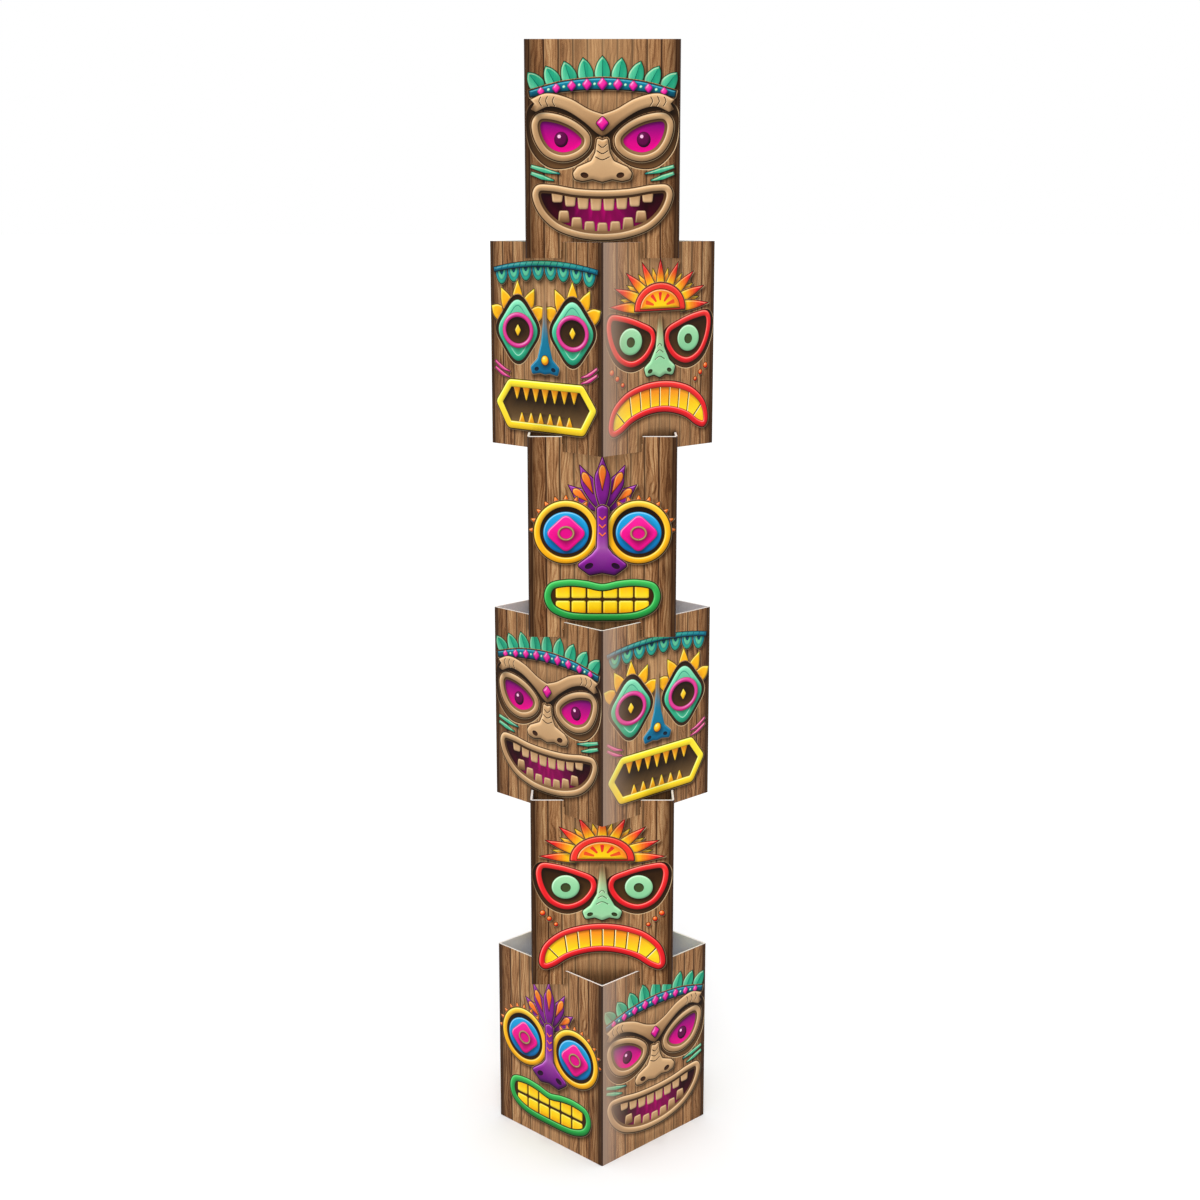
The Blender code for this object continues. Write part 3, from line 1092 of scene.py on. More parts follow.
def mask_c():
    """Feather crest, rayed round eyes with diamonds, rhombus nose, gapped teeth."""
    a = Art()
    a.smudge(-60, 92, 30, 18, -0.14)
    a.smudge(60, 92, 30, 18, -0.14)
    a.smudge(0, 226, 60, 10, -0.28)
    a.smudge(-100, 220, 16, 26, -0.18)
    a.smudge(100, 220, 16, 26, -0.18)

    # five feathers fan out from between the eyes
    a.lift = -7.0
    for k in (-2, 2, -1, 1, 0):
        t = math.radians(k * 25)
        out = np.array([math.sin(t), -math.cos(t)])
        root = np.array([0.0, 128.0])
        long = (90, 84, 70)[abs(k)]
        tip = root + out * long
        p = leaf(root, tip, 21 if k else 23, belly=0.66)
        a.groove(p, dark=1.0, light=1.0)
        a.add(p, carved(along(root, tip, PURPLE_DEEP, PURPLE, PURPLE, rgb(146, 50, 156)), wide=4.5,
                        depth=0.34, pale=rgb(216, 160, 222)), shadow=DROP)
        eye_of = drop(root + out * long * 0.40, root + out * long * 0.85, 11.5)
        a.groove(eye_of, dark=0.8, light=0.0)
        a.add(eye_of, carved(along(root + out * long * 0.4, root + out * long * 0.86, ORANGE_DEEP, ORANGE,
                                   rgb(250, 150, 50)), wide=3, depth=0.25, pale=rgb(255, 220, 160)))

    # rays, rims and hollows
    for s in (1, -1):
        cx, cy = 57 * s, 158
        for k in range(11):
            ang = -176 + k * 17.2 if s > 0 else -4 - k * 17.2
            t = math.radians(ang)
            out = np.array([math.cos(t), math.sin(t)])
            n = np.array([-out[1], out[0]])
            root = np.array([cx, cy]) + out * (49, 49)
            if abs(root[0]) < 22 and root[1] < 140:
                continue
            tip = root + out * 11.5
            ray = soft([root + n * 5.2, tip, root - n * 5.2], [0.5, 1.3, 0.5])
            a.groove(ray, dark=0.8, light=0.6)
            a.add(ray, carved(along(root, tip, ORANGE_DEEP, ORANGE, rgb(252, 150, 60)), wide=3, depth=0.3,
                              pale=rgb(255, 224, 170)), shadow=NEAR_DROP)
        disc = oval(cx, cy, 50.5, 50)
        ring, core, inner = rim(
            a, disc, 9.5,
            carved(down(cy - 50, cy + 50, rgb(255, 200, 60), AMBER, rgb(244, 170, 20)), wide=5, depth=0.34,
                   pale=rgb(255, 246, 200)),
            hollow(down(cy - 42, cy + 42, rgb(34, 18, 8), rgb(60, 36, 16), rgb(78, 50, 24)), wide=10,
                   depth=0.5))
        pool = oval(cx, cy + 1, 36, 33.5)
        a.add(pool, carved(down(cy - 30, cy + 32, rgb(40, 164, 222), BLUE, BLUE_DEEP), wide=4, depth=0.22,
                           pale=rgb(190, 232, 250), shine=0.9), shadow=(2.5, 4.5, 6, 0.55), clip=(core,))
        star = soft([(cx, cy - 30), (cx + 34, cy + 2), (cx, cy + 34), (cx - 34, cy + 2)], 12)
        a.add(star, carved(down(cy - 24, cy + 28, rgb(246, 40, 156), HOT, rgb(222, 10, 128)), wide=3.5,
                           depth=0.2, pale=rgb(255, 206, 236), shine=0.9), shadow=NEAR_DROP, clip=(core,))
        bead = oval(cx, cy + 2, 13.5, 12, step=2)
        rim(a, bead, 3.4, tube(flat(TAN), TAN_DEEP, 1.7, gloss=0.3), hollow(flat(rgb(222, 8, 130)), wide=3, depth=0.3),
            shadow=NEAR_DROP, groove=False)

    # the bridge and the rhombus below it
    a.lift = -8.0
    half = [(0, 116), (9, 120), (8, 150), (9, 184), (17, 194), (41, 212), (20, 228), (0, 224)]
    nose = soft(whole(half), 5)
    a.groove(nose, dark=1.2, light=0.8)
    a.add(nose, carved(down(116, 228, PURPLE, PURPLE, rgb(134, 44, 142), PURPLE_PALE, PURPLE, PURPLE_DEEP),
                       wide=6, depth=0.42, pale=rgb(222, 170, 226)), shadow=DROP)
    for p in both(oval(21, 213, 6.5, 3.8, 24, step=1.8)):
        a.groove(p, dark=0.7, light=0.0)
        a.add(p, hollow(flat(rgb(36, 4, 44)), wide=3))
    for k in range(3):
        y = 134 + k * 13
        ch = [(-5.2, y), (0, y + 5), (5.2, y)]
        a.add(band(straight(ch, 3, False), [2.0, 2.0]), plain(flat(ORANGE)))
        a.add(band(straight(pts(ch) + (0, 2.0), 3, False), [0.7, 0.7]), plain(flat(PURPLE_DEEP)))

    # the mouth
    a.lift = -9.0
    mouth = blob([(-92, 262), (-84, 243), (-56, 236), (-26, 238), (0, 243), (26, 238), (56, 236), (84, 243),
                  (92, 262), (84, 284), (58, 298), (0, 302), (-58, 298), (-84, 284)])
    lips, core, inner = rim(
        a, mouth, 10.5,
        carved(down(234, 302, rgb(60, 178, 84), GREEN, rgb(34, 146, 62)), wide=5.5, depth=0.34,
               pale=GREEN_PALE, shine=0.85),
        hollow(flat(rgb(52, 32, 10)), wide=6, depth=0.5))
    bed = grown(inner, -1.6)
    gum = a.add(bed, plain(flat(rgb(58, 34, 10))), clip=(core,))
    for k in range(6):
        x = -62.5 + k * 25.0
        t = soft([(x - 11.3, 236), (x + 11.3, 236), (x + 11.3, 266), (x - 11.3, 266)], 2.6)
        a.add(t, carved(down(246, 266, rgb(236, 170, 20), TOOTH, rgb(255, 222, 60)), wide=4, depth=0.2,
                        pale=rgb(255, 248, 190), shine=0.6), clip=(gum,))
        t = soft([(x - 11.3, 270), (x + 11.3, 270), (x + 11.3, 296), (x - 11.3, 296)], 2.6)
        a.add(t, carved(down(270, 292, rgb(255, 220, 50), TOOTH, TOOTH_DEEP), wide=4, depth=0.2,
                        pale=rgb(255, 248, 190), shine=0.6), clip=(gum,))
    return a


def mask_d():
    """Rising sun, slanted red eyes with round pupils, leaf nose, down-turned grin."""
    a = Art()
    a.smudge(0, 118, 30, 20, -0.18)
    a.smudge(0, 216, 50, 10, -0.30)
    a.smudge(-96, 220, 20, 22, -0.20)
    a.smudge(96, 220, 20, 22, -0.20)

    # a half sun: long rays, short rays, then the disc
    a.lift = -5.0
    cx, cy = 0.0, 106.0
    for pass_ in (0, 1):
        for k in range(17):
            long = k % 2 == 0
            if long != (pass_ == 1):
                continue
            t = math.radians(-176 + k * 172 / 16)
            way = np.array([math.cos(t) * 1.36, math.sin(t)])
            n = np.array([-way[1], way[0]]) / np.hypot(*way)
            c = np.array([cx, cy])
            root = c + way * 32
            tip = c + way * (76 if long else 63)
            wide = 8.6 if long else 7.2
            mid = root * 0.5 + tip * 0.5
            ray = join(curve([root + n * wide, mid + n * wide * 0.72, tip], step=2.5),
                       curve([tip, mid - n * wide * 0.72, root - n * wide], step=2.5))
            a.groove(ray, dark=0.9, light=0.8)
            if long:
                paint = along(root, tip, YELLOW, AMBER, ORANGE, RED, rgb(232, 30, 40))
            else:
                paint = along(root, tip, AMBER, rgb(248, 150, 40), rgb(255, 214, 40))
            a.add(ray, carved(paint, wide=4, depth=0.26, pale=rgb(255, 236, 180), shine=0.6),
                  shadow=DROP if long else NEAR_DROP, through=0.2)
    bow = join(arc(cx, cy, 52, -180, 0, ry=39), [(52, cy), (52, cy + 3), (-52, cy + 3), (-52, cy)])
    a.groove(bow, dark=1.1, light=0.9)
    a.add(bow, carved(around(cx, cy, 54, RED, RED, rgb(240, 60, 44), squeeze=1.33), wide=5, depth=0.3,
                      pale=rgb(255, 190, 160)), shadow=DROP)
    sun = join(arc(cx, cy, 41, -180, 0, ry=29.5), [(41, cy), (-41, cy)])
    a.groove(sun, dark=0.9, light=0.0)
    a.add(sun, carved(around(cx, cy, 42, rgb(255, 236, 90), rgb(255, 214, 20), AMBER, ORANGE, squeeze=1.39),
                      wide=4, depth=0.2, pale=rgb(255, 250, 214)))
    for k in range(5):
        t = math.radians(-158 + k * 34)
        p = soft([np.array([cx, cy - 2]) + np.array([math.cos(t) * 1.39, math.sin(t)]) * r
                  + np.array([-math.sin(t), math.cos(t)]) * w
                  for r, w in ((10, 1.6), (23, 3.6), (23, -3.6), (10, -1.6))], 1.2)
        a.add(p, plain(along((0, cy - 24), (0, cy), RED, ORANGE)))

    # slanted eyes
    a.lift = -9.0
    for s in (1, -1):
        eye = pts([(10, 160), (14, 142), (40, 129), (74, 119), (100, 117), (108, 128), (104, 158), (86, 186),
                   (58, 197), (28, 186)])
        bed = blob((eye - (59, 155)) * 1.09 + (59, 158))
        eye = blob(eye)
        if s < 0:
            bed, eye = flip(bed), flip(eye)
        a.groove(bed, dark=1.0, light=1.2)
        a.add(bed, hollow(down(116, 204, rgb(50, 28, 12), rgb(84, 56, 32)), wide=6))
        ring, core, inner = rim(
            a, eye, 9.0,
            carved(down(118, 196, rgb(240, 52, 50), RED, rgb(222, 30, 38)), wide=5.5, depth=0.34,
                   pale=rgb(255, 196, 176), shine=0.85),
            hollow(down(128, 188, rgb(46, 26, 10), rgb(66, 42, 18), rgb(84, 56, 26)), wide=8, depth=0.5),
            shadow=(2.5, 4, 5, 0.5), groove=False)
        pupil = oval(60 * s, 158, 23, 20.5)
        a.add(pupil, carved(down(138, 178, rgb(168, 224, 174), PALE_GREEN, rgb(128, 196, 146)), wide=4,
                            depth=0.25, pale=rgb(236, 252, 236), shine=0.9), clip=(core,),
              shadow=(2.5, 4, 5, 0.55))
        spiral = oval(60 * s, 159, 8.5, 8, step=2)
        a.add(spiral, hollow(flat(rgb(62, 74, 40)), wide=4, depth=0.4), clip=(core,))

    # the nose: a pale leaf, wide at its foot
    half = [(0, 118), (4, 122), (6.5, 150), (9, 170), (20, 190), (33, 200), (28, 214), (12, 211), (0, 216)]
    nose = soft(whole(half), 5)
    a.add(grown(nose, 1.5), plain(fade(flat(rgb(60, 38, 18)), lambda q: smooth(130, 170, q[:, 1]))))
    a.add(nose, carved(fade(down(120, 214, rgb(176, 170, 120), SAGE, PALE_GREEN, rgb(152, 206, 156)),
                            lambda q: smooth(118, 164, q[:, 1])), wide=6, depth=0.34,
                       pale=rgb(232, 246, 220), lip=0.3), shadow=DROP)
    for p in both(oval(20, 205.5, 5.2, 3.4, 16, step=1.7)):
        a.add(p, hollow(flat(rgb(52, 62, 34)), wide=3))
    for k in range(3):
        y = 166 + k * 10
        w = 5 + k * 2.6
        seam(a, curve([(-w, y + 2), (0, y - 2.5), (w, y + 2)], step=3), 1.4, dark=rgb(70, 96, 60),
             light=rgb(220, 240, 208))

    # dots down the cheeks
    for s in (1, -1):
        for k in range(3):
            x, y = (98 - k * 11) * s, 203 + k * 10
            p = oval(x, y, 4.6 - k * 0.5, step=1.7)
            a.groove(p, dark=0.8, light=0.7)
            a.add(p, tube(flat(ORANGE), RED_DEEP, 4, gloss=0.8), shadow=NEAR_DROP)

    # the mouth turns down
    mouth = blob([(-104, 292), (-98, 262), (-72, 238), (-38, 226), (0, 222), (38, 226), (72, 238), (98, 262),
                  (104, 292), (96, 301), (80, 297), (56, 282), (28, 273), (0, 270), (-28, 273), (-56, 282),
                  (-80, 297), (-96, 301)])
    lips, core, inner = rim(
        a, mouth, 9.5,
        carved(down(222, 300, rgb(240, 56, 52), RED, rgb(222, 32, 38)), wide=5.5, depth=0.34,
               pale=rgb(255, 190, 170), shine=0.85),
        hollow(along((0, 230), (0, 292), rgb(238, 120, 20), rgb(250, 166, 40), rgb(255, 204, 24),
                     rgb(255, 222, 40), rgb(248, 190, 20)), wide=5, depth=0.35))
    for k in range(9):
        t = (k - 4) / 4.0
        x0, x1 = t * 84, t * 74
        y0 = 224 + 26 * t * t
        y1 = 274 + 30 * abs(t) ** 1.6
        if abs(t) > 0.9:
            x0, x1, y0, y1 = t * 95, t * 72, 258, 282
        seam(a, [(x0, y0), (x1, y1)], 1.9, clip=(core,), dark=rgb(70, 34, 8), light=rgb(255, 244, 180))
    return a


# ------------------------------------------------------------------- materials
class Nodes:
    """Short names for the nodes that the materials are made of."""

    def __init__(self, name):
        self.mat = bpy.data.materials.new(name)
        self.mat.use_nodes = True
        self.tree = self.mat.node_tree
        self.shader = self.tree.nodes["Principled BSDF"]

    def new(self, kind, **values):
        node = self.tree.nodes.new(kind)
        for k, v in values.items():
            setattr(node, k, v)
        return node

    def put(self, socket, value):
        if isinstance(value, bpy.types.NodeSocket):
            self.tree.links.new(value, socket)
        elif isinstance(value, (tuple, list, np.ndarray)) and socket.type == "RGBA":
            socket.default_value = (*[float(v) for v in value[:3]], 1.0)
        else:
            socket.default_value = value

    def math(self, op, *args, clamp=False):
        node = self.new("ShaderNodeMath", operation=op, use_clamp=clamp)
        for i, v in enumerate(args):
            self.put(node.inputs[i], v)
        return node.outputs[0]

    def add(self, a, b): return self.math("ADD", a, b)
    def sub(self, a, b): return self.math("SUBTRACT", a, b)
    def mul(self, a, b): return self.math("MULTIPLY", a, b)

    def xyz(self, x, y, z):
        node = self.new("ShaderNodeCombineXYZ")
        for i, v in enumerate((x, y, z)):
            self.put(node.inputs[i], v)
        return node.outputs[0]

    def split(self, v):
        node = self.new("ShaderNodeSeparateXYZ")
        self.put(node.inputs[0], v)
        return node.outputs[0], node.outputs[1], node.outputs[2]

    def noise(self, v, scale, detail=2.0, rough=0.5, distort=0.0):
        node = self.new("ShaderNodeTexNoise")
        self.put(node.inputs["Vector"], v)
        node.inputs["Scale"].default_value = scale
        node.inputs["Detail"].default_value = detail
        node.inputs["Roughness"].default_value = rough
        node.inputs["Distortion"].default_value = distort
        return node.outputs[0]

    def rand(self, v):
        node = self.new("ShaderNodeTexWhiteNoise", noise_dimensions="3D")
        self.put(node.inputs["Vector"], v)
        return node.outputs["Value"]

    def step(self, a, b, x, low=0.0, high=1.0):
        node = self.new("ShaderNodeMapRange", interpolation_type="SMOOTHSTEP")
        self.put(node.inputs["Value"], x)
        for key, v in (("From Min", a), ("From Max", b), ("To Min", low), ("To Max", high)):
            node.inputs[key].default_value = v
        return node.outputs["Result"]

    def mix(self, fac, a, b, kind="MIX"):
        node = self.new("ShaderNodeMix", data_type="RGBA", blend_type=kind)
        self.put(node.inputs[0], fac)
        self.put(node.inputs[6], a)
        self.put(node.inputs[7], b)
        return node.outputs[2]

    def ramp(self, fac, stops):
        node = self.new("ShaderNodeValToRGB")
        bar = node.color_ramp
        while len(bar.elements) > 1:
            bar.elements.remove(bar.elements[-1])
        bar.elements[0].position = stops[0][0]
        bar.elements[0].color = (*to_linear(stops[0][1]), 1)
        for at, c in stops[1:]:
            bar.elements.new(at).color = (*to_linear(c), 1)
        self.put(node.inputs[0], fac)
        return node.outputs[0]

    def attribute(self, name):
        return self.new("ShaderNodeAttribute", attribute_name=name)

    def bump(self, height, strength, distance):
        node = self.new("ShaderNodeBump")
        node.inputs["Strength"].default_value = strength
        node.inputs["Distance"].default_value = distance
        self.put(node.inputs["Height"], height)
        self.put(self.shader.inputs["Normal"], node.outputs[0])


def planks(n, x, y, seed):
    """The printed ground: upright planks. x and y are in units of 100 mm on
    the drawing's sheet, x from the middle. Gives a colour."""
    half = ART_WIDTH / 200.0
    u = n.math("DIVIDE", n.add(x, half), 2 * half)                 # 0 to 1 across
    wander = n.mul(n.sub(n.noise(n.xyz(n.mul(x, 4.0), n.mul(y, 1.3), seed), 1.0, 2.0), 0.5), 0.012)
    k = n.math("DIVIDE", n.sub(n.add(u, wander), 0.0275), 0.0945)
    number = n.math("FLOOR", k)
    f = n.math("FRACT", k)
    own = n.rand(n.xyz(number, seed, 3.7))                          # one value a plank
    other = n.rand(n.xyz(number, n.add(seed, 9.1), 1.3))
    side = n.math("MINIMUM", f, n.sub(1.0, f))
    gap = n.mul(side, 22.1)                                         # mm from the joint

    # long fibres, bent a little, each plank from its own log
    bend = n.mul(n.sub(n.noise(n.xyz(n.add(n.mul(x, 2.4), n.mul(own, 7.0)), n.mul(y, 0.9), seed), 1.0, 3.0,
                               0.55), 0.5), 0.11)
    gx = n.add(x, bend)
    lot = n.mul(own, 31.0)
    broad = n.noise(n.xyz(n.add(n.mul(gx, 9.0), lot), n.mul(y, 0.55), seed), 1.0, 3.0, 0.6, 0.6)
    fine = n.noise(n.xyz(n.add(n.mul(gx, 42.0), lot), n.mul(y, 1.7), seed), 1.0, 4.0, 0.65, 0.2)
    specks = n.noise(n.xyz(n.mul(gx, 120.0), n.mul(y, 22.0), seed), 1.0, 2.0, 0.7)
    rings = n.math("SINE", n.mul(n.add(n.mul(gx, 17.0), n.mul(
        n.noise(n.xyz(n.add(n.mul(x, 3.1), lot), n.mul(y, 0.75), seed), 1.0, 2.0, 0.5, 0.8), 5.2)), 6.2832))
    rings = n.math("POWER", n.add(n.mul(rings, 0.5), 0.5), 3.0)
    tone = n.add(n.mul(broad, 0.62), n.mul(fine, 0.46))
    tone = n.sub(tone, n.mul(rings, 0.13))
    tone = n.add(tone, n.mul(n.sub(own, 0.5), 0.10))
    tone = n.add(tone, n.mul(n.sub(specks, 0.5), 0.16))
    colour = n.ramp(tone, [
        (0.33, rgb(76, 43, 20)), (0.425, rgb(113, 72, 41)), (0.50, rgb(142, 99, 62)),
        (0.575, rgb(166, 122, 81)), (0.67, rgb(192, 152, 107)),
    ])
    # a dark streak here and there
    streak = n.noise(n.xyz(n.add(n.mul(gx, 26.0), lot), n.mul(y, 0.35), n.add(seed, 4.0)), 1.0, 2.0, 0.5)
    colour = n.mix(n.mul(n.step(0.58, 0.70, streak), 0.50), colour, to_linear(rgb(88, 53, 29)))
    # the joints: a dark line, a pale edge to its right, the planks rounded off
    colour = n.mix(n.mul(n.step(5.0, 0.0, gap), 0.36), colour, to_linear(rgb(98, 59, 33)))
    pale = n.mul(n.step(0.9, 1.5, n.mul(f, 22.1)), n.step(2.9, 1.9, n.mul(f, 22.1)))
    colour = n.mix(n.mul(pale, n.add(0.12, n.mul(other, 0.22))), colour, to_linear(rgb(222, 184, 136)))
    strong = n.add(0.78, n.mul(other, 0.20))
    colour = n.mix(n.mul(n.mul(n.step(2.3, 0.7, gap), strong), 0.62), colour, to_linear(rgb(66, 36, 17)))
    colour = n.mix(n.mul(n.step(1.15, 0.75, gap), strong), colour, to_linear(rgb(44, 22, 9)))
    # the ground darkens to both sides like a round post, and is palest in the middle
    out = n.math("ABSOLUTE", n.sub(u, 0.5))
    colour = n.mix(n.step(0.40, 0.0, out, 0.0, 0.34), colour, to_linear(rgb(202, 160, 114)))
    colour = n.mix(n.step(0.375, 0.455, out, 0.0, 0.50), colour, to_linear(rgb(68, 40, 18)))
    colour = n.mix(n.step(0.435, 0.498, out, 0.0, 0.86), colour, to_linear(rgb(40, 21, 7)))
    return colour


def card_surface(n, colour, fibre, rough=0.42):
    """The sheen of coated board over a colour."""
    n.put(n.shader.inputs["Base Color"], colour)
    n.shader.inputs["Metallic"].default_value = 0.0
    n.shader.inputs["Specular IOR Level"].default_value = 0.06
    n.put(n.shader.inputs["Roughness"], n.add(rough - 0.06, n.mul(fibre, 0.12)))


def print_material():
    """Ink on coated board: planks under airbrushed masks."""
    n = Nodes("printed_card")
    sheet = n.attribute("sheet")
    x, y, seed = n.split(sheet.outputs["Vector"])
    wood = planks(n, x, y, seed)
    tone = n.attribute("tone")
    part = n.new("ShaderNodeSeparateColor")
    n.put(part.inputs[0], tone.outputs["Color"])
    shade, through, painted_sheen = part.outputs[0], part.outputs[1], part.outputs[2]
    card = tone.outputs["Alpha"]
    power = n.math("POWER", shade, 1.9)
    shaded = n.mix(1.0, wood, n.xyz(power, n.math("POWER", shade, 2.05), n.math("POWER", shade, 2.2)),
                   "MULTIPLY")
    ink = n.attribute("ink")
    # the planks' grain comes through some of the paint
    grain = n.new("ShaderNodeRGBToBW")
    n.put(grain.inputs[0], wood)
    felt = n.add(0.45, n.mul(grain.outputs[0], 2.75))
    felt = n.math("MINIMUM", felt, 1.45)
    mottled = n.noise(n.xyz(n.mul(x, 30.0), n.mul(y, 30.0), seed), 1.0, 3.0, 0.6)
    tint = n.add(0.885, n.mul(mottled, 0.07))
    gain = n.mul(tint, n.add(1.0, n.mul(through, n.sub(felt, 1.0))))
    paint = n.mix(1.0, ink.outputs["Color"], n.xyz(gain, gain, gain), "MULTIPLY")
    colour = n.mix(ink.outputs["Alpha"], shaded, paint)
    # painted sheen: a lighter colour mixed in along a fold
    colour = n.mix(painted_sheen, colour, to_linear(rgb(184, 157, 137)))
    fibre = n.noise(n.xyz(n.mul(x, 160.0), n.mul(y, 160.0), seed), 1.0, 3.0, 0.7)
    core = n.mix(fibre, to_linear(rgb(206, 196, 186)), to_linear(rgb(236, 230, 224)))
    colour = n.mix(card, colour, core)
    card_surface(n, colour, fibre)
    wave = n.noise(n.xyz(n.mul(x, 14.0), n.mul(y, 2.2), seed), 1.0, 2.0, 0.5)
    n.bump(n.add(n.mul(fibre, 0.35), n.mul(wave, 0.65)), 0.10, 0.0006)
    return n.mat


def board_material(name, side, low, high, angle, seed):
    """A sleeve of board: dark print round its folds, grey liner inside, and
    pale cut edges. Told apart by where the point lies across the wall."""
    n = Nodes(name)
    place = n.new("ShaderNodeTexCoord").outputs["Object"]
    rot = n.new("ShaderNodeVectorRotate", rotation_type="Z_AXIS")
    n.put(rot.inputs["Vector"], place)
    rot.inputs["Angle"].default_value = -angle
    x, y, z = n.split(rot.outputs[0])
    ax, ay = n.math("ABSOLUTE", x), n.math("ABSOLUTE", y)
    far = n.math("MAXIMUM", ax, ay)
    near = n.math("MINIMUM", ax, ay)
    half = side / 2
    normal = n.new("ShaderNodeNewGeometry").outputs["Normal"]
    nrot = n.new("ShaderNodeVectorRotate", rotation_type="Z_AXIS")
    n.put(nrot.inputs["Vector"], normal)
    nrot.inputs["Angle"].default_value = -angle
    nx, ny, nz = n.split(nrot.outputs[0])
    faces_out = n.add(n.mul(nx, n.math("SIGN", x)), n.mul(ny, n.math("SIGN", y)))
    skin = n.mul(n.step(half - 0.0012, half - 0.0008, far), n.step(0.5, 0.7, faces_out))
    flat_in = n.mul(n.step(half - 0.0027, half - 0.0029, far), 1.0)
    cut = n.step(0.45, 0.6, n.math("ABSOLUTE", nz))

    fibre = n.noise(n.xyz(n.mul(x, 900.0), n.mul(y, 900.0), n.mul(z, 900.0)), 1.0, 4.0, 0.65)
    # liner: pale grey board with faint flute lines and flecks
    sideways = n.math("MAXIMUM", near, 0.0)
    flute = n.math("SINE", n.mul(sideways, 2 * math.pi / 0.0062))
    flecks = n.noise(n.xyz(n.mul(x, 420.0), n.mul(y, 420.0), n.mul(z, 240.0)), 1.0, 3.0, 0.7)
    liner = n.ramp(n.add(n.mul(fibre, 0.5), n.mul(flecks, 0.5)), [
        (0.25, rgb(234, 238, 246)), (0.55, rgb(243, 246, 252)), (0.8, rgb(248, 250, 254))])
    liner = n.mix(n.mul(n.step(0.4, 1.0, flute), 0.06), liner, to_linear(rgb(214, 216, 222)))
    # the cut edge: two liners with the fluting between them
    across = n.math("DIVIDE", n.sub(half, far), 0.003)
    layer = n.math("ABSOLUTE", n.sub(across, 0.5))
    edge = n.mix(fibre, to_linear(rgb(222, 216, 209)), to_linear(rgb(246, 243, 239)))
    tooth = n.math("SINE", n.add(n.mul(near, 2 * math.pi / 0.0062), n.mul(across, 1.2)))
    dark = n.mul(n.step(0.36, 0.22, layer), n.step(-0.2, 0.9, tooth))
    edge = n.mix(n.mul(dark, 0.30), edge, to_linear(rgb(150, 138, 126)))
    # the printed outside, seen only round the folds
    grain = n.noise(n.xyz(n.mul(near, 1400.0), n.mul(far, 1400.0), n.mul(z, 16.0)), 1.0, 4.0, 0.6, 0.3)
    rind = n.ramp(grain, [(0.3, rgb(36, 18, 7)), (0.55, rgb(52, 29, 13)), (0.75, rgb(82, 52, 30))])
    crease = n.noise(n.xyz(n.mul(x, 60.0), n.mul(y, 60.0), n.mul(z, 300.0)), 1.0, 3.0, 0.7)
    rub = n.mul(n.step(0.62, 0.80, crease), 0.08)
    rind = n.mix(rub, rind, to_linear(rgb(150, 118, 88)))

    colour = n.mix(flat_in, edge, liner)
    colour = n.mix(skin, colour, rind)
    colour = n.mix(cut, colour, edge)
    n.put(n.shader.inputs["Base Color"], colour)
    n.shader.inputs["Metallic"].default_value = 0.0
    n.shader.inputs["Specular IOR Level"].default_value = 0.25
    n.put(n.shader.inputs["Roughness"], n.add(n.sub(0.72, n.mul(skin, 0.26)), n.mul(fibre, 0.12)))
    n.bump(n.add(n.mul(fibre, 0.6), n.mul(flute, 0.10)), 0.12, 0.0006)
    return n.mat


# ------------------------------------------------------------------- the prints
def face_outline(node, way, right, top):
    """The outline of a sleeve's flat outer face, in the drawing's mm."""
    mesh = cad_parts[node].data
    co = np.array([v.co[:] for v in mesh.vertices], dtype=float)
    reach = (co @ way).max()
    edges = {}
    key = lambda v: tuple(int(round(c * 1e6)) for c in co[v])
    for f in mesh.polygons:
        vs = list(f.vertices)
        if (co[vs] @ way).min() < reach - 2e-5 or Vector(f.normal).dot(Vector(way)) < 0.999:
            continue
        ks = [key(v) for v in vs]
        for a, b in zip(ks, ks[1:] + ks[:1]):
            if a != b:
                if (b, a) in edges:
                    del edges[(b, a)]
                else:
                    edges[(a, b)] = True
    after = {a: b for a, b in edges}
    best = []
    while after:
        first, b = next(iter(after.items()))
        loop = [first]
        del after[first]
        while b != first and b in after:
            loop.append(b)
            b = after.pop(b)
        if len(loop) > len(best):
            best = loop
    p = np.array(best, dtype=float) * 1e-6
    out = np.stack([p @ right, top - p[:, 2]], 1) * 1000.0
    # drop the points along straight stretches
    keep = []
    for i in range(len(out)):
        a, b, c = out[i - 1], out[i], out[(i + 1) % len(out)]
        u, v = b - a, c - b
        if abs(u[0] * v[1] - u[1] * v[0]) > 1e-3 * max(np.hypot(*u) * np.hypot(*v), 1e-6):
            keep.append(i)
    return reach, out[keep]


def painted_fold_sheen(facing, x):
    """Painted sheen: lighter colour along the fold that faces the viewer, on the panels to its right."""
    if facing in ("front_right", "back_left"):
        t = (x + ART_WIDTH / 2) / ART_WIDTH
        return 0.06 * np.clip(1 - t / 0.03, 0, 1) + 0.56 * np.exp(-(t / 0.16) ** 2)
    return np.zeros(len(x))


def crossing_at(i, reach):
    """How far from its middle a panel is crossed by the next sleeves' walls,
    with both in mm."""
    low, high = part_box(SLEEVES[i - 1 if i else 1])
    if i % 2:
        out = high.x * 1000                # the neighbours' front wall, from the axis
        return (math.sqrt(2) * out - reach)
    return high.x * 1000 - reach           # the neighbours' corner, less the wall


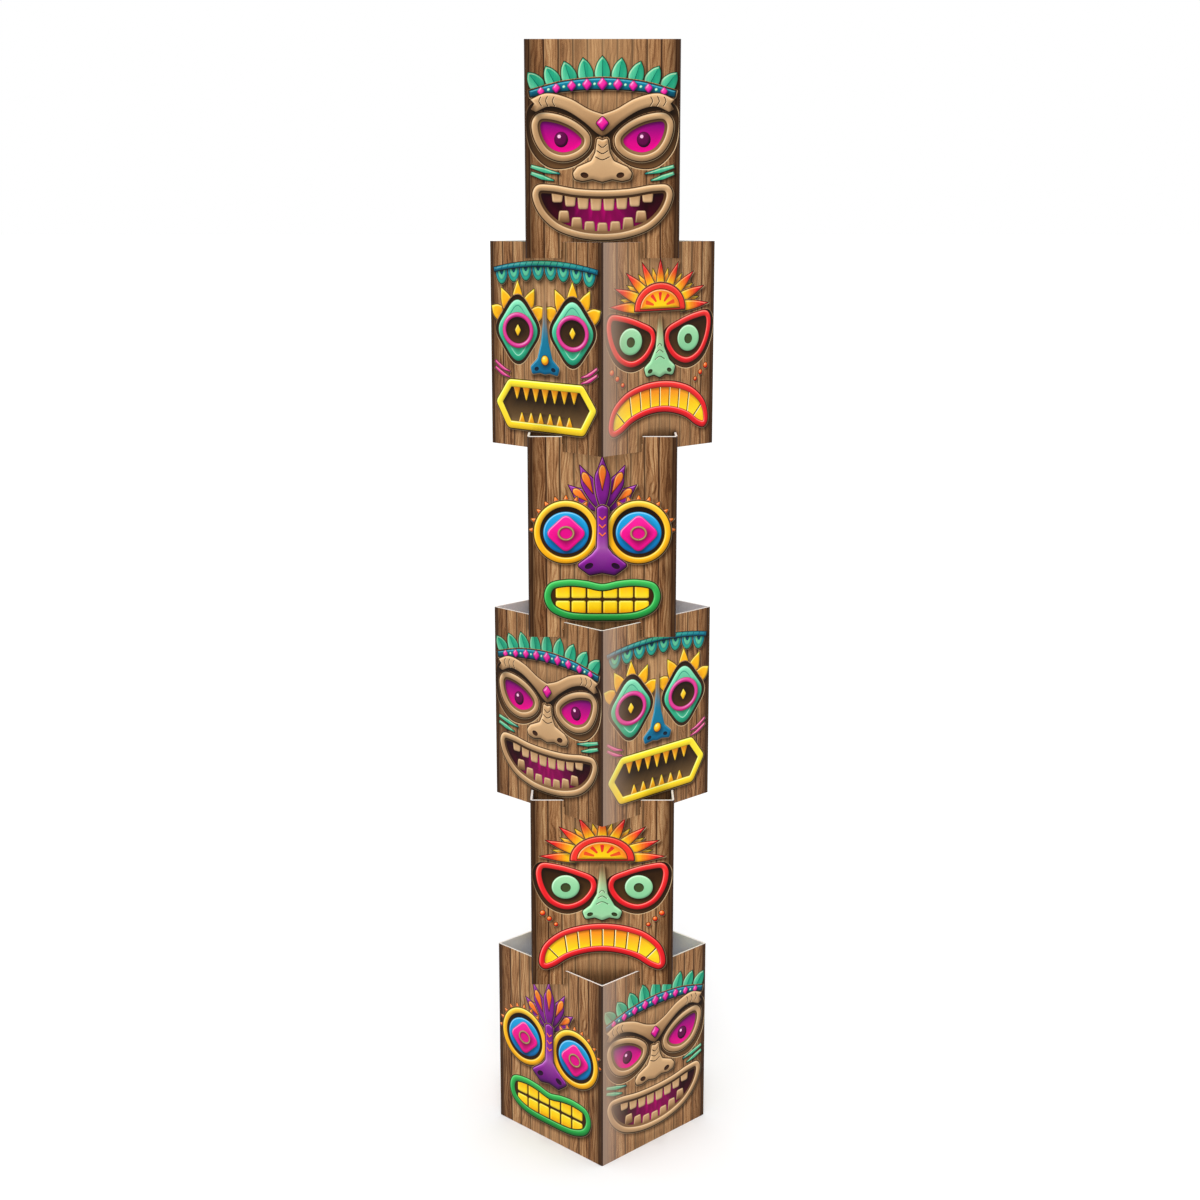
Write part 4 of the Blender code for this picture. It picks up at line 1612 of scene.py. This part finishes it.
def crossing_shade(i, reach, x, y):
    """Painted shade in the corners where the next sleeves' walls cross a panel,
    as a factor: 1 in the open, less towards the crossings."""
    painted_shade = np.ones(len(x))
    at = crossing_at(i, reach)
    if i % 2:
        d = np.abs(np.abs(x) - at)
        zone = smooth(30.0, 22.0, y)
        if i + 1 < len(SLEEVES):
            zone = np.maximum(zone, smooth(ART_HEIGHT - 30.0, ART_HEIGHT - 22.0, y))
        painted_shade = 1 - 0.34 * zone * np.exp(-(d / 8.0) ** 2)
        painted_shade *= 1 - 0.26 * zone * np.exp(-(d / 1.6) ** 2)
        if i + 1 < len(SLEEVES):           # and painted shade down behind the corner of the sleeve below
            over = ART_HEIGHT - 24.0 - y
            deep = np.where(over > 0, np.exp(-(over / 7.0) ** 2), 1.0) * smooth(at + 1, at - 1, np.abs(x))
            painted_shade *= 1 - 0.36 * deep
    elif i + 1 < len(SLEEVES):
        # painted shade on this face behind the corner of the sleeve below
        painted_shade *= 1 - 0.36 * smooth(286.0, 310.0, y) * smooth(at + 2, at - 9, np.abs(x))
    return painted_shade


ARTS = {"A": mask_a(), "B": mask_b(), "C": mask_c(), "D": mask_d()}
SEED = {"A": 1.7, "B": 5.3, "C": 8.9, "D": 13.1}
CARD = print_material()
pressed = {}


def print_panel(i, facing, letter):
    node = SLEEVES[i]
    low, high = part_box(node)
    t = math.radians(FACING[facing])
    way = np.array([math.cos(t), math.sin(t), 0.0])
    right = np.array([-math.sin(t), math.cos(t), 0.0])
    reach, outline = face_outline(node, way, right, high.z)
    stretch = 2 * reach * 1000 / ART_WIDTH
    outline = straight(outline / (stretch, 1.0), 7.0)
    bare = {2: 0.9, 3: 0.3, 4: 0.5}.get(i, 0.0)
    key = (letter, bare, np.round(outline, 2).tobytes())
    if key not in pressed:
        extra = []
        if i % 2:                          # rows of points for the painted shade at the crossings
            at = crossing_at(i, reach * 1000) / stretch
            for y in list(np.arange(1.6, 34, 3.2)) + list(np.arange(286, 319, 3.2)):
                for d in (-8.0, -4.2, -1.9, 0.0, 1.9, 4.2, 8.0):
                    extra += [(s * (at + d), y) for s in (1, -1)]
        pressed[key] = ARTS[letter].press(turned(outline), bare, extra)
    co, tris, ink, tone = pressed[key]
    n = len(co)

    def place(q, off):
        return (way * (reach + off))[None] + right[None] * (q[:, :1] * stretch / 1000) \
            + np.array([0, 0, 1.0])[None] * (high.z - q[:, 1:2] / 1000)

    # front, seen from outside; then the rim and the back, so that it is closed
    faces = tris[:, ::-1]
    ink_f, tone_f = ink[:, ::-1].reshape(-1, 4).copy(), tone[:, ::-1].reshape(-1, 4).copy()
    # painted sheen: a lighter band along the fold, kept in the tone's third channel
    tone_f[:, 2] = np.clip(painted_fold_sheen(facing, co[faces.ravel(), 0]), 0, 1)
    corner = co[faces.ravel()]
    # painted shade where the next sleeves' walls cross this panel, multiplied into the shade channel
    tone_f[:, 0] *= crossing_shade(i, reach * 1000, corner[:, 0] * stretch, corner[:, 1])
    directed = {}
    for a, b, c in faces:
        for e in ((a, b), (b, c), (c, a)):
            directed[e] = True
    border = {a: b for a, b in directed if (b, a) not in directed}
    start = next(iter(border))
    loop = [start]
    b = border[start]
    while b != start:
        loop.append(b)
        b = border[b]
    m = len(loop)
    if m != len(border):
        raise RuntimeError(f"the print on {node} {facing} has {len(border)} border edges, {m} in one loop")
    rim_points = co[loop]
    back_faces = delaunay_2d_cdt([Vector(v) for v in rim_points.tolist()], [],
                                 [list(range(m))], 0, 0.0, True)[2]
    middle = np.array([rim_points[list(f)].mean(0) for f in back_faces])
    back_faces = [f for f, hit in zip(back_faces, within(middle, rim_points)) if hit]
    verts = np.vstack([place(co, PROUD), place(rim_points, -SUNK)])
    polys = faces.tolist()
    for k in range(m):
        a, b = loop[k], loop[(k + 1) % m]
        polys.append([b, a, n + k, n + (k + 1) % m])
    for f in back_faces:
        f = list(f)
        x, y = rim_points[f, 0], rim_points[f, 1]
        turn = (x[1] - x[0]) * (y[2] - y[0]) - (y[1] - y[0]) * (x[2] - x[0])
        if turn < 0:
            f = f[::-1]
        polys.append([n + v for v in f])
    name = f"print_{i + 1}_{facing}"
    mesh = bpy.data.meshes.new(name)
    mesh.from_pydata(verts.tolist(), [], polys)
    corners = sum(len(p) for p in polys)
    rest = corners - len(ink_f)
    # the print runs on round the folds; everywhere else the rim is cut card
    span = rim_points[:, 0]
    fold = np.minimum(np.abs(span), np.abs(np.roll(span, -1))) > ART_WIDTH / 2 - 3.0
    # painted sheen: the rim along the fold with the lighter band is painted lighter too
    bright = fold & (span < 0) & (facing in ("front_right", "back_left"))
    rim_ink = np.tile([0.5, 0.4, 0.3, 0.0], (m, 1))
    rim_ink[fold] = (*to_linear(rgb(44, 24, 9)), 1.0)
    rim_ink[bright] = (*to_linear(rgb(120, 98, 84)), 1.0)
    rim_tone = np.tile([1.0, 0.0, 0.0, 1.0], (m, 1))
    rim_tone[fold, 3] = 0.0
    under = rest - 4 * m
    ink_all = np.vstack([ink_f, np.repeat(rim_ink, 4, 0), np.tile([0.5, 0.4, 0.3, 0.0], (under, 1))])
    tone_all = np.vstack([tone_f, np.repeat(rim_tone, 4, 0), np.tile([1.0, 0.0, 0.0, 1.0], (under, 1))])
    for label, values in (("ink", ink_all), ("tone", tone_all)):
        layer = mesh.attributes.new(label, "FLOAT_COLOR", "CORNER")
        layer.data.foreach_set("color", values.astype(np.float32).ravel())
    every = np.vstack([co, rim_points])
    sheet = mesh.attributes.new("sheet", "FLOAT_VECTOR", "POINT")
    sheet.data.foreach_set("vector", np.column_stack(
        [every[:, 0] / 100, every[:, 1] / 100, np.full(len(every), SEED[letter])]).astype(np.float32).ravel())
    # a UV map of its own: nearly all of it is the printed face
    uv = mesh.uv_layers.new(name="OFBake")
    w = ART_WIDTH
    u = 0.006 + 0.92 * (co[:, 0] + w / 2) / w
    v = 0.006 + 0.988 * (1 - co[:, 1] / ART_HEIGHT)
    where = [np.stack([u, v], 1)[faces.ravel()]]
    s = np.arange(m + 1) / m * 0.98 + 0.01
    for k in range(m):
        where.append(np.array([(0.975, s[k + 1]), (0.975, s[k]), (0.990, s[k]), (0.990, s[k + 1])]))
    ub = 0.940 + 0.02 * (rim_points[:, 0] + w / 2) / w
    vb = 0.006 + 0.988 * (1 - rim_points[:, 1] / ART_HEIGHT)
    flat_uv = np.stack([ub, vb], 1)
    for p in polys[len(faces) + m:]:
        where.append(flat_uv[[v - n for v in p]])
    uv.data.foreach_set("uv", np.vstack(where).astype(np.float32).ravel())
    mesh.materials.append(CARD)
    mesh.validate(clean_customdata=False)
    ob = bpy.data.objects.new(name, mesh)
    scene.collection.objects.link(ob)
    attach(ob, "root")
    return ob


for i, panels in PANELS.items():
    node = SLEEVES[i]
    low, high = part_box(node)
    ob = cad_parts[node]
    angle = math.pi / 4 if i % 2 else 0.0
    some = next(iter(panels))
    t = math.radians(FACING[some])
    co = np.array([v.co[:] for v in ob.data.vertices])
    side = 2 * float((co @ np.array([math.cos(t), math.sin(t), 0.0])).max())
    board = board_material(f"board_{i + 1}", side, low.z, high.z, angle, i + 1.0)
    ob.data.materials.clear()
    ob.data.materials.append(board)
    for facing, letter in panels.items():
        print_panel(i, facing, letter)


# -------------------------------------------------------- floor, light, camera
low, high = cad_low, cad_high
bpy.ops.mesh.primitive_plane_add(size=240.0, location=(0, 0, low.z - 0.0002))
floor = bpy.context.object
floor.name = "floor"
n = Nodes("floor_paint")
grit = n.noise(n.new("ShaderNodeTexCoord").outputs["Object"], 3.0, 3.0, 0.6)
n.put(n.shader.inputs["Base Color"], n.mix(grit, (0.838, 0.838, 0.838), (0.842, 0.842, 0.842)))
n.shader.inputs["Roughness"].default_value = 1.0
n.shader.inputs["Specular IOR Level"].default_value = 0.0
floor.data.materials.append(n.mat)

world = bpy.data.worlds.new("studio")
scene.world = world
world.use_nodes = True
back = world.node_tree.nodes["Background"]
back.inputs["Color"].default_value = (1.0, 1.0, 1.0, 1.0)
# a white backdrop, which lights a little less than it shows
ray = world.node_tree.nodes.new("ShaderNodeLightPath")
power = world.node_tree.nodes.new("ShaderNodeMapRange")
power.inputs["To Min"].default_value = 0.74
power.inputs["To Max"].default_value = 1.0
world.node_tree.links.new(ray.outputs["Is Camera Ray"], power.inputs["Value"])
world.node_tree.links.new(power.outputs["Result"], back.inputs["Strength"])


def sun(name, azimuth, elevation, strength, size):
    data = bpy.data.lights.new(name, "SUN")
    data.energy = strength
    data.angle = math.radians(size)
    ob = bpy.data.objects.new(name, data)
    a, e = math.radians(azimuth), math.radians(elevation)
    way = Vector((math.sin(a) * math.cos(e), -math.cos(a) * math.cos(e), math.sin(e)))
    ob.rotation_euler = way.to_track_quat("Z", "Y").to_euler()
    ob.location = way * 4
    scene.collection.objects.link(ob)
    return ob


sun("key", -32, 58, 0.28, 40)
sun("fill", 40, 50, 0.16, 60)
sun("front", 0, 64, 0.7, 14)
sun("low", 0, 25, 0.52, 24)
sun("top", 0, 90, 0.62, 8)

camera = bpy.data.cameras.new("camera")
eye = bpy.data.objects.new("camera", camera)
scene.collection.objects.link(eye)
camera.sensor_width = 36.0
camera.lens = 1.509 * 36.0
eye.location = (0.0, -2.92, 1.549)
eye.rotation_euler = (math.radians(90 - 12.1), 0.0, 0.0013)
camera.clip_end = 500
scene.camera = eye
scene.view_settings.view_transform = "Standard"
scene.view_settings.look = "None"
